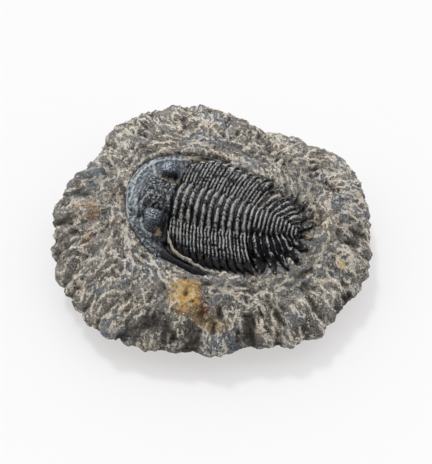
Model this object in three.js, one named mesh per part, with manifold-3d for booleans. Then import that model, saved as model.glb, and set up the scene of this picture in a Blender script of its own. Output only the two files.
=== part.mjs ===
// A trilobite fossil lying in the shallow dish that was carved for it in a limestone nodule.
// Millimetres, +Z up. The origin is under the middle of the stone, on the face that it rests on.
// Along the animal, u runs back from the front of the head and v runs across it, to its far side.
import * as THREE from 'three';
import { mergeVertices } from 'three/addons/utils/BufferGeometryUtils.js';
import Module from 'manifold-3d';

const wasm = await Module();
wasm.setup();

// Driving dimensions of the stone.
const STONE_LENGTH = 92;
const STONE_WIDTH = 82;
const GIRTH_HEIGHT = 8.5;
const CROWN_HEIGHT = 18.4;
const BASE_SHARE = 0.66;
const STONE_SIDES = 84;

// Driving dimensions of the dish and of the animal in it.
const DISH_FLOOR = 16;
const DISH_CUT_TOP = 30;
const HEAD_X = -24.8;
const HEAD_Y = 4.7;
const HEADING = THREE.MathUtils.degToRad(-15.1);
const HEAD_LENGTH = 14.6;
const SEGMENTS = 11;
const SEGMENT_PITCH = 1.98;
const TAIL_MIDDLE = 40;
const TAIL_REACH = 15.2;
const TAIL_HALF_WIDTH = 15;
const JOINT_GAP = 0.3;

const THORAX_END = HEAD_LENGTH + SEGMENTS * SEGMENT_PITCH;
const TAIL_END = TAIL_MIDDLE + TAIL_REACH;

// A smooth curve through a few [place, value] pairs, level before the first and after the last.
function profile(pairs) {
  return (x) => {
    const last = pairs.length - 1;
    if (x <= pairs[0][0]) return pairs[0][1];
    if (x >= pairs[last][0]) return pairs[last][1];
    const i = pairs.findIndex((pair) => pair[0] > x) - 1;
    const [x0, y0] = pairs[i];
    const [x1, y1] = pairs[i + 1];
    const slope = (a, b) => (pairs[b][1] - pairs[a][1]) / (pairs[b][0] - pairs[a][0]);
    const m0 = i > 0 ? slope(i - 1, i + 1) : slope(i, i + 1);
    const m1 = i + 2 <= last ? slope(i, i + 2) : slope(i, i + 1);
    const h = x1 - x0;
    const t = (x - x0) / h;
    const t2 = t * t;
    const t3 = t2 * t;
    return (2 * t3 - 3 * t2 + 1) * y0 + (t3 - 2 * t2 + t) * h * m0
      + (3 * t2 - 2 * t3) * y1 + (t3 - t2) * h * m1;
  };
}

// Heights above the dish floor along the middle of the back and along the axial furrows.
const crestHeight = profile([[0, 1.6], [14, 7.2], [23, 7.4], [31, 7.0], [38, 6.1], [46, 4.3], [53, 2.0]]);
const furrowHeight = profile([[0, 1.6], [14, 4.5], [23, 4.5], [31, 4.1], [38, 3.4], [46, 2.3], [53, 1.3]]);
const axisHalf = profile([[14, 5.8], [24, 5.8], [32, 5.3], [38, 4.6], [46, 3.2], [53, 1.5]]);

// Distance from the middle of the back to the margin, and how far the pleurae sweep back, on each side.
const farHalf = profile([[15, 13.6], [18, 16], [21, 17.2], [25, 17.2], [32, 15.3], [40, 13.7], [46, 12.6]]);
const nearHalf = profile([[15, 12.4], [18, 14.2], [22, 15.6], [27, 16.6], [32, 16.6], [40, 15.4], [46, 13]]);
const farSweep = profile([[14, 0.8], [25, 2.2], [37, 3.8]]);
const nearSweep = profile([[14, 2.2], [25, 3.8], [37, 5.4]]);
const EDGE_HEIGHT = 0.8;

function halfWidth(u, v) {
  return v > 0 ? farHalf(u) : nearHalf(u);
}

function sweepBack(u, v) {
  return v > 0 ? farSweep(u) : nearSweep(u);
}

// The joint line behind the head and between one plate and the next: level over the axis, then swept.
function jointLine(index, v) {
  const axial = HEAD_LENGTH + index * SEGMENT_PITCH;
  const share = Math.abs(v) / halfWidth(axial + sweepBack(axial, v), v);
  return axial + sweepBack(axial, v) * share ** 2;
}

// Height of the back above the dish floor, for a point that belongs to the place `axial` on the axis.
function backHeight(axial, v) {
  const across = Math.abs(v);
  const axis = axisHalf(axial);
  const crest = crestHeight(axial);
  const furrow = furrowHeight(axial);
  if (across < axis) {
    return furrow + (crest - furrow) * Math.cos((Math.PI / 2) * (across / axis)) ** 0.8;
  }
  const margin = halfWidth(axial + sweepBack(axial, v), v);
  const share = Math.min(1, (across - axis) / (margin - axis));
  return EDGE_HEIGHT + (furrow - EDGE_HEIGHT) * (1 - share ** 2) ** 0.75;
}

// From the animal's own u and v, with a height above the dish floor, to the part's frame.
function place(u, v, height) {
  const x = HEAD_X + u * Math.cos(HEADING) - v * Math.sin(HEADING);
  const y = HEAD_Y + u * Math.sin(HEADING) + v * Math.cos(HEADING);
  return new THREE.Vector3(x, y, DISH_FLOOR + height);
}

// A closed solid skinned over rings of points. The rings turn anticlockwise about the way they advance.
function skin(rings) {
  const count = rings[0].length;
  const points = rings.flat();
  const index = [];
  for (let r = 0; r + 1 < rings.length; r += 1) {
    for (let k = 0; k < count; k += 1) {
      const a = r * count + k;
      const b = r * count + ((k + 1) % count);
      index.push(a, b, b + count, a, b + count, a + count);
    }
  }
  const first = points.length;
  const middle = (ring) => ring.reduce((sum, p) => sum.add(p), new THREE.Vector3()).divideScalar(count);
  points.push(middle(rings[0]), middle(rings[rings.length - 1]));
  const top = (rings.length - 1) * count;
  for (let k = 0; k < count; k += 1) {
    const next = (k + 1) % count;
    index.push(first, next, k);
    index.push(first + 1, top + k, top + next);
  }
  const geometry = new THREE.BufferGeometry();
  geometry.setAttribute('position', new THREE.Float32BufferAttribute(points.flatMap((p) => p.toArray()), 3));
  geometry.setIndex(index);
  return geometry;
}

// A plan outline drawn straight up between two heights above the dish floor.
function upright(outline, low, high) {
  const ring = (height) => outline.map(([u, v]) => place(u, v, height));
  const shape = new THREE.Shape(ring(0).map((p) => new THREE.Vector2(p.x, p.y)));
  const geometry = new THREE.ExtrudeGeometry(shape, { depth: high - low, bevelEnabled: false });
  geometry.translate(0, 0, DISH_FLOOR + low);
  return geometry;
}

function solid(geometry) {
  const bare = geometry.clone();
  bare.deleteAttribute('normal');
  bare.deleteAttribute('uv');
  const merged = mergeVertices(bare, 1e-5);
  return new wasm.Manifold(new wasm.Mesh({
    numProp: 3,
    vertProperties: new Float32Array(merged.attributes.position.array),
    triVerts: new Uint32Array(merged.index.array),
  }));
}

function toGeometry(body) {
  const mesh = body.getMesh();
  const geometry = new THREE.BufferGeometry();
  geometry.setAttribute('position', new THREE.BufferAttribute(new Float32Array(mesh.vertProperties), 3));
  geometry.setIndex(new THREE.BufferAttribute(new Uint32Array(mesh.triVerts), 1));
  return geometry;
}

// A smooth closed or open curve through hand-chosen plan points, as [u, v] pairs.
function smooth(pairs, steps, closed = false) {
  const line = pairs.map(([a, b]) => new THREE.Vector3(a, b, 0));
  const curve = new THREE.CatmullRomCurve3(line, closed, 'centripetal');
  const points = curve.getPoints(steps).map((p) => [p.x, p.y]);
  return closed ? points.slice(0, -1) : points;
}

// The stone, seen from above: a lumpy oval with a shoulder at the left and a flatter back right side.
function girthOutline() {
  const knots = [
    [-46.3, -5], [-46, 7.3], [-41, 17], [-35, 24.6], [-32, 33.6], [-22, 40.2], [-9, 42.6], [2.5, 41],
    [14.5, 34.4], [28.4, 29.4], [39.5, 22.3], [45, 11], [45.4, -2.3], [43.6, -15.5], [35, -27.6],
    [24, -36], [8, -38], [-9, -39], [-19, -37.4], [-31.5, -33], [-38.5, -25], [-44.3, -15.5],
  ];
  const outline = smooth(knots, STONE_SIDES, true);
  const xs = outline.map((p) => p[0]);
  const ys = outline.map((p) => p[1]);
  const [left, right] = [Math.min(...xs), Math.max(...xs)];
  const [near, far] = [Math.min(...ys), Math.max(...ys)];
  return outline.reverse().map(([x, y]) => [
    ((x - (left + right) / 2) * STONE_LENGTH) / (right - left),
    ((y - (near + far) / 2) * STONE_WIDTH) / (far - near),
  ]);
}

// [share of the girth, height] from the flat base, round the girth and over the crown.
const UNDERSIDE = [[BASE_SHARE, 0], [0.8, 0.8], [0.91, 2.9], [0.975, 5.6], [1, GIRTH_HEIGHT]];
const CROWN_SHARES = [0.985, 0.95, 0.9, 0.83, 0.75, 0.65, 0.5, 0.3];

function stoneSolid() {
  const outline = girthOutline();
  const rise = CROWN_HEIGHT - GIRTH_HEIGHT;
  const crown = CROWN_SHARES.map((s) => [s, GIRTH_HEIGHT + rise * (1 - s ** 3.2) ** 0.62]);
  const rings = [...UNDERSIDE, ...crown].map(([share, height]) => (
    outline.map(([x, y]) => new THREE.Vector3(x * share, y * share, height))
  ));
  return solid(skin(rings));
}

// Outline of the head: round in front, drawn out behind into a genal spine on each side.
const NEAR_CHEEK = [[15.2, -12.9], [19, -15.4], [23, -16.7], [27.4, -17.6], [30.6, -18.9]];
const HEAD_FRONT = [
  [30.6, -18.9], [27, -19.5], [22.5, -18.9], [17, -17.5], [11.6, -15.8], [6.4, -11.6], [2.4, -6.6],
  [0.6, -1.4], [-0.3, 4.6], [0.9, 9.4], [3.6, 13.4], [8, 16.1], [13, 17.3], [17, 18.6], [21, 18.9], [26, 18.3],
];
const FAR_CHEEK = [[26, 18.3], [21, 17.7], [17, 16.3], [14.6, 13.6]];

function headOutline() {
  const rear = [];
  for (let v = 12.6; v > -12; v -= 1.2) {
    rear.push([jointLine(0, v) - JOINT_GAP / 2, v]);
  }
  const spines = [...smooth(NEAR_CHEEK, 6).slice(0, -1), ...smooth(HEAD_FRONT, 40)];
  return [...rear, ...spines, ...smooth(FAR_CHEEK, 5).slice(1)];
}

// Height of the head: a flat border, cheeks that rise from it, and the glabella swollen between them.
const HEAD_MIDDLE = [14, 0.6];
const HEAD_RADII = [14.4, 16.6];
const GLABELLA = { u: 9.4, v: 0.2, long: 7, wide: 6.2, height: 7.6 };
const BORDER_HEIGHT = 1.7;
const CHEEK_HEIGHT = 5.0;

function headHeight(u, v) {
  const forward = Math.min(0, u - HEAD_MIDDLE[0]) / HEAD_RADII[0];
  const out = Math.hypot(forward, (v - HEAD_MIDDLE[1]) / HEAD_RADII[1]);
  const lip = THREE.MathUtils.smoothstep(1.04 - out, 0, 0.1);
  const slope = THREE.MathUtils.smoothstep(0.8 - out, 0, 0.55);
  const cheek = EDGE_HEIGHT + (BORDER_HEIGHT - EDGE_HEIGHT) * lip + (CHEEK_HEIGHT - BORDER_HEIGHT) * slope;
  const swell = 1 - ((u - GLABELLA.u) / GLABELLA.long) ** 2 - ((v - GLABELLA.v) / GLABELLA.wide) ** 2;
  return THREE.MathUtils.lerp(cheek, GLABELLA.height, THREE.MathUtils.smoothstep(swell, 0, 0.8));
}

// A solid under a surface of heights over a box in plan, standing on the dish floor.
function dome(uRange, vRange, uSteps, vSteps, height) {
  const rings = [];
  for (let j = 0; j <= vSteps; j += 1) {
    const v = THREE.MathUtils.lerp(vRange[0], vRange[1], j / vSteps);
    const ring = [];
    for (let i = 0; i <= uSteps; i += 1) {
      const u = THREE.MathUtils.lerp(uRange[0], uRange[1], i / uSteps);
      ring.push(place(u, v, height(u, v)));
    }
    ring.push(place(uRange[1], v, 0), place(uRange[0], v, 0));
    rings.push(ring);
  }
  return solid(skin(rings));
}

// A tall kidney-shaped eye, standing on the cheek with its lens face turned outwards.
const EYES = [{ u: 11.8, v: 8.7 }, { u: 10.4, v: -8.7 }];
const EYE_RINGS = [[1.08, 0], [1, 5], [0.96, 6.4], [0.8, 7.1], [0.45, 7.5]];
const EYE_LONG = 2.7;
const EYE_WIDE = 1.9;
const EYE_SIDES = 14;

function eyeSolid({ u, v }) {
  const outwards = Math.sign(v);
  const rings = EYE_RINGS.map(([share, height]) => {
    const ring = [];
    for (let k = 0; k < EYE_SIDES; k += 1) {
      const turn = (-2 * Math.PI * k) / EYE_SIDES;
      const bend = 0.9 * Math.sin(turn) ** 2 * outwards;
      const along = share * EYE_LONG * Math.sin(turn);
      const across = share * EYE_WIDE * Math.cos(turn) - bend;
      ring.push(place(u + along, v + across, height));
    }
    return ring;
  });
  return solid(skin(rings));
}

function cephalonGeometry() {
  const back = dome([-1.5, 32], [-21, 21], 32, 34, headHeight);
  const plate = back.intersect(solid(upright(headOutline(), 0, 12)));
  return toGeometry(plate.add(eyeSolid(EYES[0])).add(eyeSolid(EYES[1])));
}

// Relief across one segment, from its front joint to its rear joint: an axial ring in the middle,
// and on each pleura two low bands with the pleural furrow between them.
const RING_RELIEF = [-0.5, 0.35, 0.55, 0.3, -0.5];
const PLEURA_RELIEF = [-0.35, 0.4, 0.05, 0.4, -0.35];
const SEGMENT_STATIONS = 24;
const TIP_SHARE = 0.86;

function segmentGeometry(number) {
  const rings = [];
  const axial = HEAD_LENGTH + (number + 0.5) * SEGMENT_PITCH;
  const near = -nearHalf(axial + nearSweep(axial));
  const far = farHalf(axial + farSweep(axial));
  for (let j = 0; j <= SEGMENT_STATIONS; j += 1) {
    const v = THREE.MathUtils.lerp(near, far, j / SEGMENT_STATIONS);
    const across = Math.abs(v);
    const share = across / (v > 0 ? far : -near);
    const point = THREE.MathUtils.smoothstep(share, TIP_SHARE, 1.02);
    const front = jointLine(number, v) + JOINT_GAP / 2 + point * SEGMENT_PITCH * 0.5;
    const rear = jointLine(number + 1, v) - JOINT_GAP / 2;
    const relief = across < axisHalf(axial) ? RING_RELIEF : PLEURA_RELIEF;
    const back = backHeight(axial, v);
    const ring = relief.map((bump, k) => {
      const u = THREE.MathUtils.lerp(front, rear, k / (relief.length - 1));
      return place(u, v, Math.max(EDGE_HEIGHT, back + bump * (1 - point)));
    });
    ring.push(place(rear, v, 0), place(front, v, 0));
    rings.push(ring);
  }
  return skin(rings);
}

// Outline of the tail shield: a half oval whose edge is drawn out into short flat spines.
const SPINE_PAIRS = 5;
const SPINE_DEPTH = 0.17;

function pygidiumOutline() {
  const front = [];
  for (let v = 13.4; v > -15; v -= 1.3) {
    front.push([jointLine(SEGMENTS, v) + JOINT_GAP / 2, v]);
  }
  const margin = [];
  const lobes = 2 * SPINE_PAIRS + 1;
  const steps = lobes * 6;
  for (let k = 1; k < steps; k += 1) {
    const turn = (Math.PI * k) / steps;
    const lobe = Math.sin(lobes * turn) ** 2;
    const reach = 1 - SPINE_DEPTH * (1 - lobe);
    const side = turn < Math.PI / 2 ? 1.03 : 0.95;
    const u = TAIL_MIDDLE + 1.6 * Math.cos(turn) ** 2 + TAIL_REACH * reach * Math.sin(turn);
    margin.push([u, -TAIL_HALF_WIDTH * side * reach * Math.cos(turn)]);
  }
  return [...front, ...margin];
}

function tailHeight(u, v) {
  const axial = Math.max(THORAX_END, u - 1.5);
  const edge = 1 - SPINE_DEPTH;
  const back = Math.max(0, u - TAIL_MIDDLE) / (TAIL_REACH * edge);
  const out = Math.min(1, Math.hypot(back, v / (TAIL_HALF_WIDTH * edge)));
  const fall = (1 - out ** 2.4) ** 0.7;
  const across = Math.min(1, Math.abs(v) / axisHalf(axial));
  const ridge = (crestHeight(axial) - furrowHeight(axial)) * Math.cos((Math.PI / 2) * across);
  return EDGE_HEIGHT + (furrowHeight(THORAX_END) - EDGE_HEIGHT) * fall + ridge * Math.min(1, 3 * fall);
}

function pygidiumGeometry() {
  const back = dome([THORAX_END - 1, TAIL_END + 2], [-17, 17], 18, 30, tailHeight);
  return toGeometry(back.intersect(solid(upright(pygidiumOutline(), 0, 12))));
}

// The dish follows the whole animal at a small distance and is cut down to a flat floor.
const DISH_KNOTS = [
  [-1.9, 2], [-1.8, 6], [-0.2, 10.6], [2.6, 14.6], [7, 17.5], [13, 18.9], [18, 20.2], [24, 20.3],
  [30, 18.2], [38, 15.8], [46, 14.6], [51.5, 12.8], [55.5, 8], [57, 1], [56.2, -5.6], [53, -10.8],
  [47, -15.4], [42, -17.6], [36, -18.8], [31, -20.6], [26, -21.1], [19, -19.6], [12, -17.6], [6, -13.4],
  [1.6, -8.2], [-0.8, -3],
];

function dishCutter() {
  return solid(upright(smooth(DISH_KNOTS, 64, true), 0, DISH_CUT_TOP - DISH_FLOOR));
}

function addPiece(group, name, geometry, colour, roughness) {
  const material = new THREE.MeshStandardMaterial({ color: colour, roughness, metalness: 0 });
  const mesh = new THREE.Mesh(geometry, material);
  mesh.name = name;
  group.add(mesh);
}

const fossil = new THREE.Group();
addPiece(fossil, 'matrix', toGeometry(stoneSolid().subtract(dishCutter())), 0x827e77, 0.95);
addPiece(fossil, 'cephalon', cephalonGeometry(), 0x5c5f63, 0.5);
for (let number = 0; number < SEGMENTS; number += 1) {
  const name = `thoracic_segment_${String(number + 1).padStart(2, '0')}`;
  addPiece(fossil, name, segmentGeometry(number), 0x46474a, 0.45);
}
addPiece(fossil, 'pygidium', pygidiumGeometry(), 0x333437, 0.4);

export default fossil;
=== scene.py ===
"""A trilobite fossil in the limestone nodule that it was dug out of, with a soft studio round it.

Lengths are in millimetres until a mesh or a node takes them, where MM turns them into metres.
Along the animal, u runs back from the front of the head, v runs across it to its far side, and
h is the height above the floor of the dish that it lies in.
"""

import math

import bpy
import numpy as np
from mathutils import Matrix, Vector


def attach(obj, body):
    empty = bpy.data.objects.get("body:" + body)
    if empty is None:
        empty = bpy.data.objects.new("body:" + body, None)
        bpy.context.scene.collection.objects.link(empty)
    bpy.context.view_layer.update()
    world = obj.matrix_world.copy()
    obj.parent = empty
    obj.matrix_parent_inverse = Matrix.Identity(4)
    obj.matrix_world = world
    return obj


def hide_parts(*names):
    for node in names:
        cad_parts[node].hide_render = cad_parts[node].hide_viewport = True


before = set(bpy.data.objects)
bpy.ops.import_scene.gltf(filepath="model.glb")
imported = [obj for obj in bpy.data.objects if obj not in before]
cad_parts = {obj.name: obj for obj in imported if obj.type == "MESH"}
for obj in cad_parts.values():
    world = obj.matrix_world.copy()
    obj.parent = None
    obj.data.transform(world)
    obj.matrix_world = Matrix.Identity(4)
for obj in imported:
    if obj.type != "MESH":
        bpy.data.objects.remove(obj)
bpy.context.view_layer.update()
MM = 0.001

# ---------------------------------------------------------------------------------------------
# The matrix: one lump of dark fine-grained limestone. Its outside was knapped, which left
# rounded knobs and shallow chips; its top was cut back with an air scribe, whose strokes bruised
# the stone to a pale powdery tan; and the dish round the animal was ground out last.
# ---------------------------------------------------------------------------------------------
STONE_LENGTH = 92
STONE_WIDTH = 82
GIRTH_HEIGHT = 8.5
CROWN_HEIGHT = 18.4
STONE_KNOTS = [
    (-46.3, -5), (-46, 7.3), (-41, 17), (-35, 24.6), (-32, 33.6), (-22, 40.2), (-9, 42.6), (2.5, 41),
    (14.5, 34.4), (28.4, 29.4), (39.5, 22.3), (45, 11), (45.4, -2.3), (43.6, -15.5), (35, -27.6),
    (24, -36), (8, -38), (-9, -39), (-19, -37.4), (-31.5, -33), (-38.5, -25), (-44.3, -15.5),
]
UNDERSIDE = [(1, GIRTH_HEIGHT), (0.975, 5.6), (0.91, 2.9), (0.8, 0.8), (0.66, 0)]
TOP_RINGS = 138
# The animal hides the middle of the top, so the rings of the mesh are spread wider apart there.
COVERED_SHARE = 0.33
COVERED_WEIGHT = 0.35

DISH_FLOOR = 16
DISH_KNOTS = [
    (-1.9, 2), (-1.8, 6), (-0.2, 10.6), (2.6, 14.6), (7, 17.5), (13, 18.9), (18, 20.2), (24, 20.3),
    (30, 18.2), (38, 15.8), (46, 14.6), (51.5, 12.8), (55.5, 8), (57, 1), (56.2, -5.6), (53, -10.8),
    (47, -15.4), (42, -17.6), (36, -18.8), (31, -20.6), (26, -21.1), (19, -19.6), (12, -17.6),
    (6, -13.4), (1.6, -8.2), (-0.8, -3),
]
HEAD_AT = (-24.8, 4.7)
HEADING = math.radians(-15.1)


def smooth_line(knots, steps, closed=False):
    """A centripetal Catmull-Rom curve through plan points, at even steps between the knots."""
    knots = np.array(knots, float)
    if closed:
        ringed = np.vstack([knots[-1:], knots, knots[:2]])
    else:
        ringed = np.vstack([2 * knots[0] - knots[1], knots, 2 * knots[-1] - knots[-2]])
    spans = len(ringed) - 3
    place_on = np.linspace(0, spans, steps + 1)[: steps if closed else steps + 1]
    span = np.minimum(place_on.astype(int), spans - 1)
    t = (place_on - span)[:, None]
    p0, p1, p2, p3 = (ringed[span + k] for k in range(4))
    d0, d1, d2 = (np.linalg.norm(b - a, axis=1)[:, None] ** 0.5 for a, b in ((p0, p1), (p1, p2), (p2, p3)))
    m1 = ((p1 - p0) / d0 - (p2 - p0) / (d0 + d1) + (p2 - p1) / d1) * d1
    m2 = ((p2 - p1) / d1 - (p3 - p1) / (d1 + d2) + (p3 - p2) / d2) * d1
    return p1 + m1 * t + (3 * (p2 - p1) - 2 * m1 - m2) * t**2 + (2 * (p1 - p2) + m1 + m2) * t**3


def smoothstep(x, low, high):
    """A smooth rise from 0 at `low` to 1 at `high`."""
    t = np.clip((x - low) / (high - low), 0, 1)
    return t * t * (3 - 2 * t)


def ridge(x):
    """A rounded ridge of height 1 over x = 0."""
    return np.exp(-x * x)


def plan(u, v):
    """From the animal's own u and v to the stone's x and y."""
    u, v = np.asarray(u, float), np.asarray(v, float)
    x = HEAD_AT[0] + u * math.cos(HEADING) - v * math.sin(HEADING)
    y = HEAD_AT[1] + u * math.sin(HEADING) + v * math.cos(HEADING)
    return x, y


def line_distance(x, y, line, closed=False):
    """Distance from each point to a line of plan points."""
    ends = np.roll(line, -1, axis=0)
    nearest = np.full(np.shape(x), np.inf)
    for (ax, ay), (bx, by) in list(zip(line, ends))[: None if closed else -1]:
        ex, ey = bx - ax, by - ay
        t = np.clip(((x - ax) * ex + (y - ay) * ey) / (ex * ex + ey * ey + 1e-12), 0, 1)
        nearest = np.minimum(nearest, (x - ax - t * ex) ** 2 + (y - ay - t * ey) ** 2)
    return np.sqrt(nearest)


def outline_distance(x, y, outline):
    """Distance to a closed outline, negative inside it."""
    inside = np.zeros(np.shape(x), bool)
    for (ax, ay), (bx, by) in zip(outline, np.roll(outline, -1, axis=0)):
        if ay != by:
            inside ^= ((ay > y) != (by > y)) & (x < (bx - ax) * (y - ay) / (by - ay) + ax)
    return np.where(inside, -1, 1) * line_distance(x, y, outline, closed=True)


def waves(points, size, seed, count=28):
    """Smooth random relief of about unit height: waves of one size, crossing at random angles."""
    draw = np.random.default_rng(seed)
    way = draw.normal(size=(count, points.shape[-1]))
    way *= (2 * np.pi / size * draw.uniform(0.7, 1.5, count) / np.linalg.norm(way, axis=1))[:, None]
    phase = draw.uniform(0, 2 * np.pi, count)
    return sum(np.cos(points @ w + p) for w, p in zip(way, phase)) / math.sqrt(count / 2)


def profile(pairs):
    """A smooth curve through a few (place, value) pairs, level before the first and past the last."""
    x, y = np.array(pairs, float).T
    slope = np.concatenate([
        [(y[1] - y[0]) / (x[1] - x[0])],
        (y[2:] - y[:-2]) / (x[2:] - x[:-2]),
        [(y[-1] - y[-2]) / (x[-1] - x[-2])],
    ])

    def curve(at):
        at = np.clip(np.asarray(at, float), x[0], x[-1])
        i = np.clip(np.searchsorted(x, at, side="right") - 1, 0, len(x) - 2)
        h = x[i + 1] - x[i]
        t = (at - x[i]) / h
        ends = (2 * t**3 - 3 * t**2 + 1) * y[i] + (3 * t**2 - 2 * t**3) * y[i + 1]
        return ends + h * ((t**3 - 2 * t**2 + t) * slope[i] + (t**3 - t**2) * slope[i + 1])

    return curve


def make_piece(name, points, faces, layers, smooth=None):
    """A mesh object from points in millimetres, with a named value or vector on each point."""
    mesh = bpy.data.meshes.new(name)
    mesh.from_pydata((np.asarray(points) * MM).tolist(), [], faces)
    mesh.polygons.foreach_set("use_smooth", np.ones(len(faces), bool) if smooth is None else smooth)
    for layer, values in layers.items():
        values = np.asarray(values, np.float32)
        kind, field = ("FLOAT", "value") if values.ndim == 1 else ("FLOAT_VECTOR", "vector")
        mesh.attributes.new(layer, kind, "POINT").data.foreach_set(field, values.ravel())
    piece = bpy.data.objects.new(name, mesh)
    bpy.context.scene.collection.objects.link(piece)
    return piece


def grid_quads(index):
    """The quads between the rows and columns of a grid of point numbers."""
    corners = [index[:-1, :-1], index[1:, :-1], index[1:, 1:], index[:-1, 1:]]
    return np.stack(corners, axis=-1).reshape(-1, 4)


def ring_grid(rings):
    """A square grid bent into rings: each point's ring and place round it, and its faces."""
    i, j = np.meshgrid(np.arange(-rings, rings + 1), np.arange(-rings, rings + 1), indexing="ij")
    ring = np.maximum(abs(i), abs(j))
    step = np.select(
        [(i == ring) & (j < ring), (j == ring) & (i > -ring), (i == -ring) & (j > -ring)],
        [j + ring, 3 * ring - i, 5 * ring - j],
        7 * ring + i,
    )
    index = np.arange(ring.size).reshape(ring.shape)
    return ring.ravel(), (step / np.maximum(8 * ring, 1)).ravel(), grid_quads(index)


def stone_outline():
    """The girth from above, anticlockwise, at even steps; called with places round it from 0 to 1."""
    line = smooth_line(STONE_KNOTS, 880, closed=True)[::-1]
    low, high = line.min(axis=0), line.max(axis=0)
    line = (line - (low + high) / 2) * (STONE_LENGTH, STONE_WIDTH) / (high - low)
    line = np.vstack([line, line[:1]])
    run = np.concatenate([[0], np.cumsum(np.linalg.norm(np.diff(line, axis=0), axis=1))])
    return lambda turn: np.stack([np.interp(turn, run / run[-1], line[:, k]) for k in (0, 1)], axis=-1)


def stone_profile():
    """Share of the girth and height, from the middle of the top, over the girth, to mid base."""
    share = 1 - np.linspace(1, 0, 400) ** 2
    crown = GIRTH_HEIGHT + (CROWN_HEIGHT - GIRTH_HEIGHT) * (1 - share**3.2) ** 0.62
    under = smooth_line(UNDERSIDE, 60)[1:]
    top = np.vstack([np.stack([share, crown], axis=-1), under[:34]])
    base = np.vstack([under[33:], [(0, 0)]])
    return top, base


def along_profile(line, count, covered=1.0):
    """Even stations on a profile; the middle, which the animal covers, counts for less."""
    step = np.hypot(np.diff(line[:, 0]) * STONE_LENGTH / 2, np.diff(line[:, 1]))
    step *= np.where(line[1:, 0] < COVERED_SHARE, covered, 1)
    run = np.concatenate([[0], np.cumsum(step)])
    return np.stack([np.interp(np.linspace(0, run[-1], count), run, line[:, k]) for k in (0, 1)], axis=-1)


outline_at = stone_outline()
top_line, base_line = stone_profile()
top_ring, top_turn, top_faces = ring_grid(TOP_RINGS)
base_ring, base_turn, base_faces = ring_grid(TOP_RINGS // 2)
top_stations = along_profile(top_line, TOP_RINGS + 1, COVERED_WEIGHT)
base_stations = along_profile(base_line[::-1], TOP_RINGS // 2 + 2)[:-1]
shares = np.concatenate([top_stations[top_ring, 0], base_stations[base_ring, 0]])
heights = np.concatenate([top_stations[top_ring, 1], base_stations[base_ring, 1]])
stone_xy = outline_at(np.concatenate([top_turn, base_turn])) * shares[:, None]
stone = np.column_stack([stone_xy, heights])
is_top = np.arange(len(stone)) < len(top_ring)

top_edge = np.flatnonzero(top_ring == TOP_RINGS)
top_edge = top_edge[np.argsort(top_turn[top_edge])]
base_edge = np.flatnonzero(base_ring == TOP_RINGS // 2)
base_edge = base_edge[np.argsort(base_turn[base_edge])] + len(top_ring)
next_base, odd = np.roll(base_edge, -1), top_edge[1::2]
stitches = np.vstack([
    np.stack([base_edge, next_base, odd], axis=-1),
    np.stack([base_edge, odd, top_edge[::2]], axis=-1),
    np.stack([next_base, np.roll(top_edge[::2], -1), odd], axis=-1),
])
stone_faces = (
    top_faces.tolist() + (base_faces[:, ::-1] + len(top_ring)).tolist() + stitches.tolist()
)

# Outlines of the animal in plan. Its own sections below use them again.
HEAD_LENGTH = 14.6
SEGMENTS = 11
SEGMENT_PITCH = 1.98
TAIL_MIDDLE = 40
TAIL_REACH = 15.2
TAIL_HALF_WIDTH = 15
SPINE_PAIRS = 5
SPINE_DEPTH = 0.25
EDGE_HEIGHT = 0.8
FAR_RISE = 1.2
THORAX_END = HEAD_LENGTH + SEGMENTS * SEGMENT_PITCH
ANIMAL_MIDDLE = 27
far_half = profile([(15, 13.6), (18, 16), (21, 17.2), (25, 17.4), (32, 15.8), (40, 14.3), (46, 13.1)])
near_half = profile([(15, 12.4), (18, 14.2), (22, 15.6), (27, 16.6), (32, 16.6), (40, 15.4), (46, 13)])
far_sweep = profile([(14, 0.8), (25, 2.2), (37, 3.8)])
near_sweep = profile([(14, 2.2), (25, 3.8), (37, 5.4)])
NEAR_CHEEK = [(15.2, -12.9), (19, -15.4), (23, -16.7), (27.4, -17.6), (30.6, -18.9)]
HEAD_FRONT = [
    (30.6, -18.9), (27, -19.5), (22.5, -18.9), (17, -17.5), (11.6, -15.8), (6.4, -11.6), (2.4, -6.6),
    (0.6, -1.4), (-0.3, 4.6), (0.9, 9.4), (3.6, 13.4), (8, 16.1), (13, 17.3), (17, 18.6), (21, 18.9),
    (26, 18.3),
]
FAR_CHEEK = [(26, 18.3), (21, 17.7), (17, 16.3), (14.6, 13.6)]
front_line = smooth_line(HEAD_FRONT, 110)


def far_rise(v):
    """How much higher the far edge of the animal lies than the near one."""
    return FAR_RISE * smoothstep(v, 2, 12)


def half_width(u, v):
    """From the midline to the margin at u, on the side that v lies on."""
    return np.where(v > 0, far_half(u), near_half(u))


def sweep_back(u, v):
    """How far behind its place on the axis a joint meets the margin, on the side that v lies on."""
    return np.where(v > 0, far_sweep(u), near_sweep(u))


def joint_line(number, v):
    """Where joint `number` crosses v: level over the axis, then swept back."""
    axial = HEAD_LENGTH + number * SEGMENT_PITCH
    share = np.abs(v) / half_width(axial + sweep_back(axial, v), v)
    return axial + sweep_back(axial, v) * share**2


def head_outline():
    across = np.arange(12.6, -12, -0.6)
    rear = np.stack([joint_line(0, across) - 0.05, across], axis=-1)
    return np.vstack([
        rear, smooth_line(NEAR_CHEEK, 20)[:-1], front_line, smooth_line(FAR_CHEEK, 16)[1:],
    ])


def thorax_outline():
    number = np.linspace(0, SEGMENTS, 40)
    near, far = (side * half_width(HEAD_LENGTH + number * SEGMENT_PITCH + 2.5, side) for side in (-1, 1))
    sides = [np.stack([joint_line(number, v), v], axis=-1) for v in (near, far)]
    return np.vstack([sides[0], sides[1][::-1]])


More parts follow.
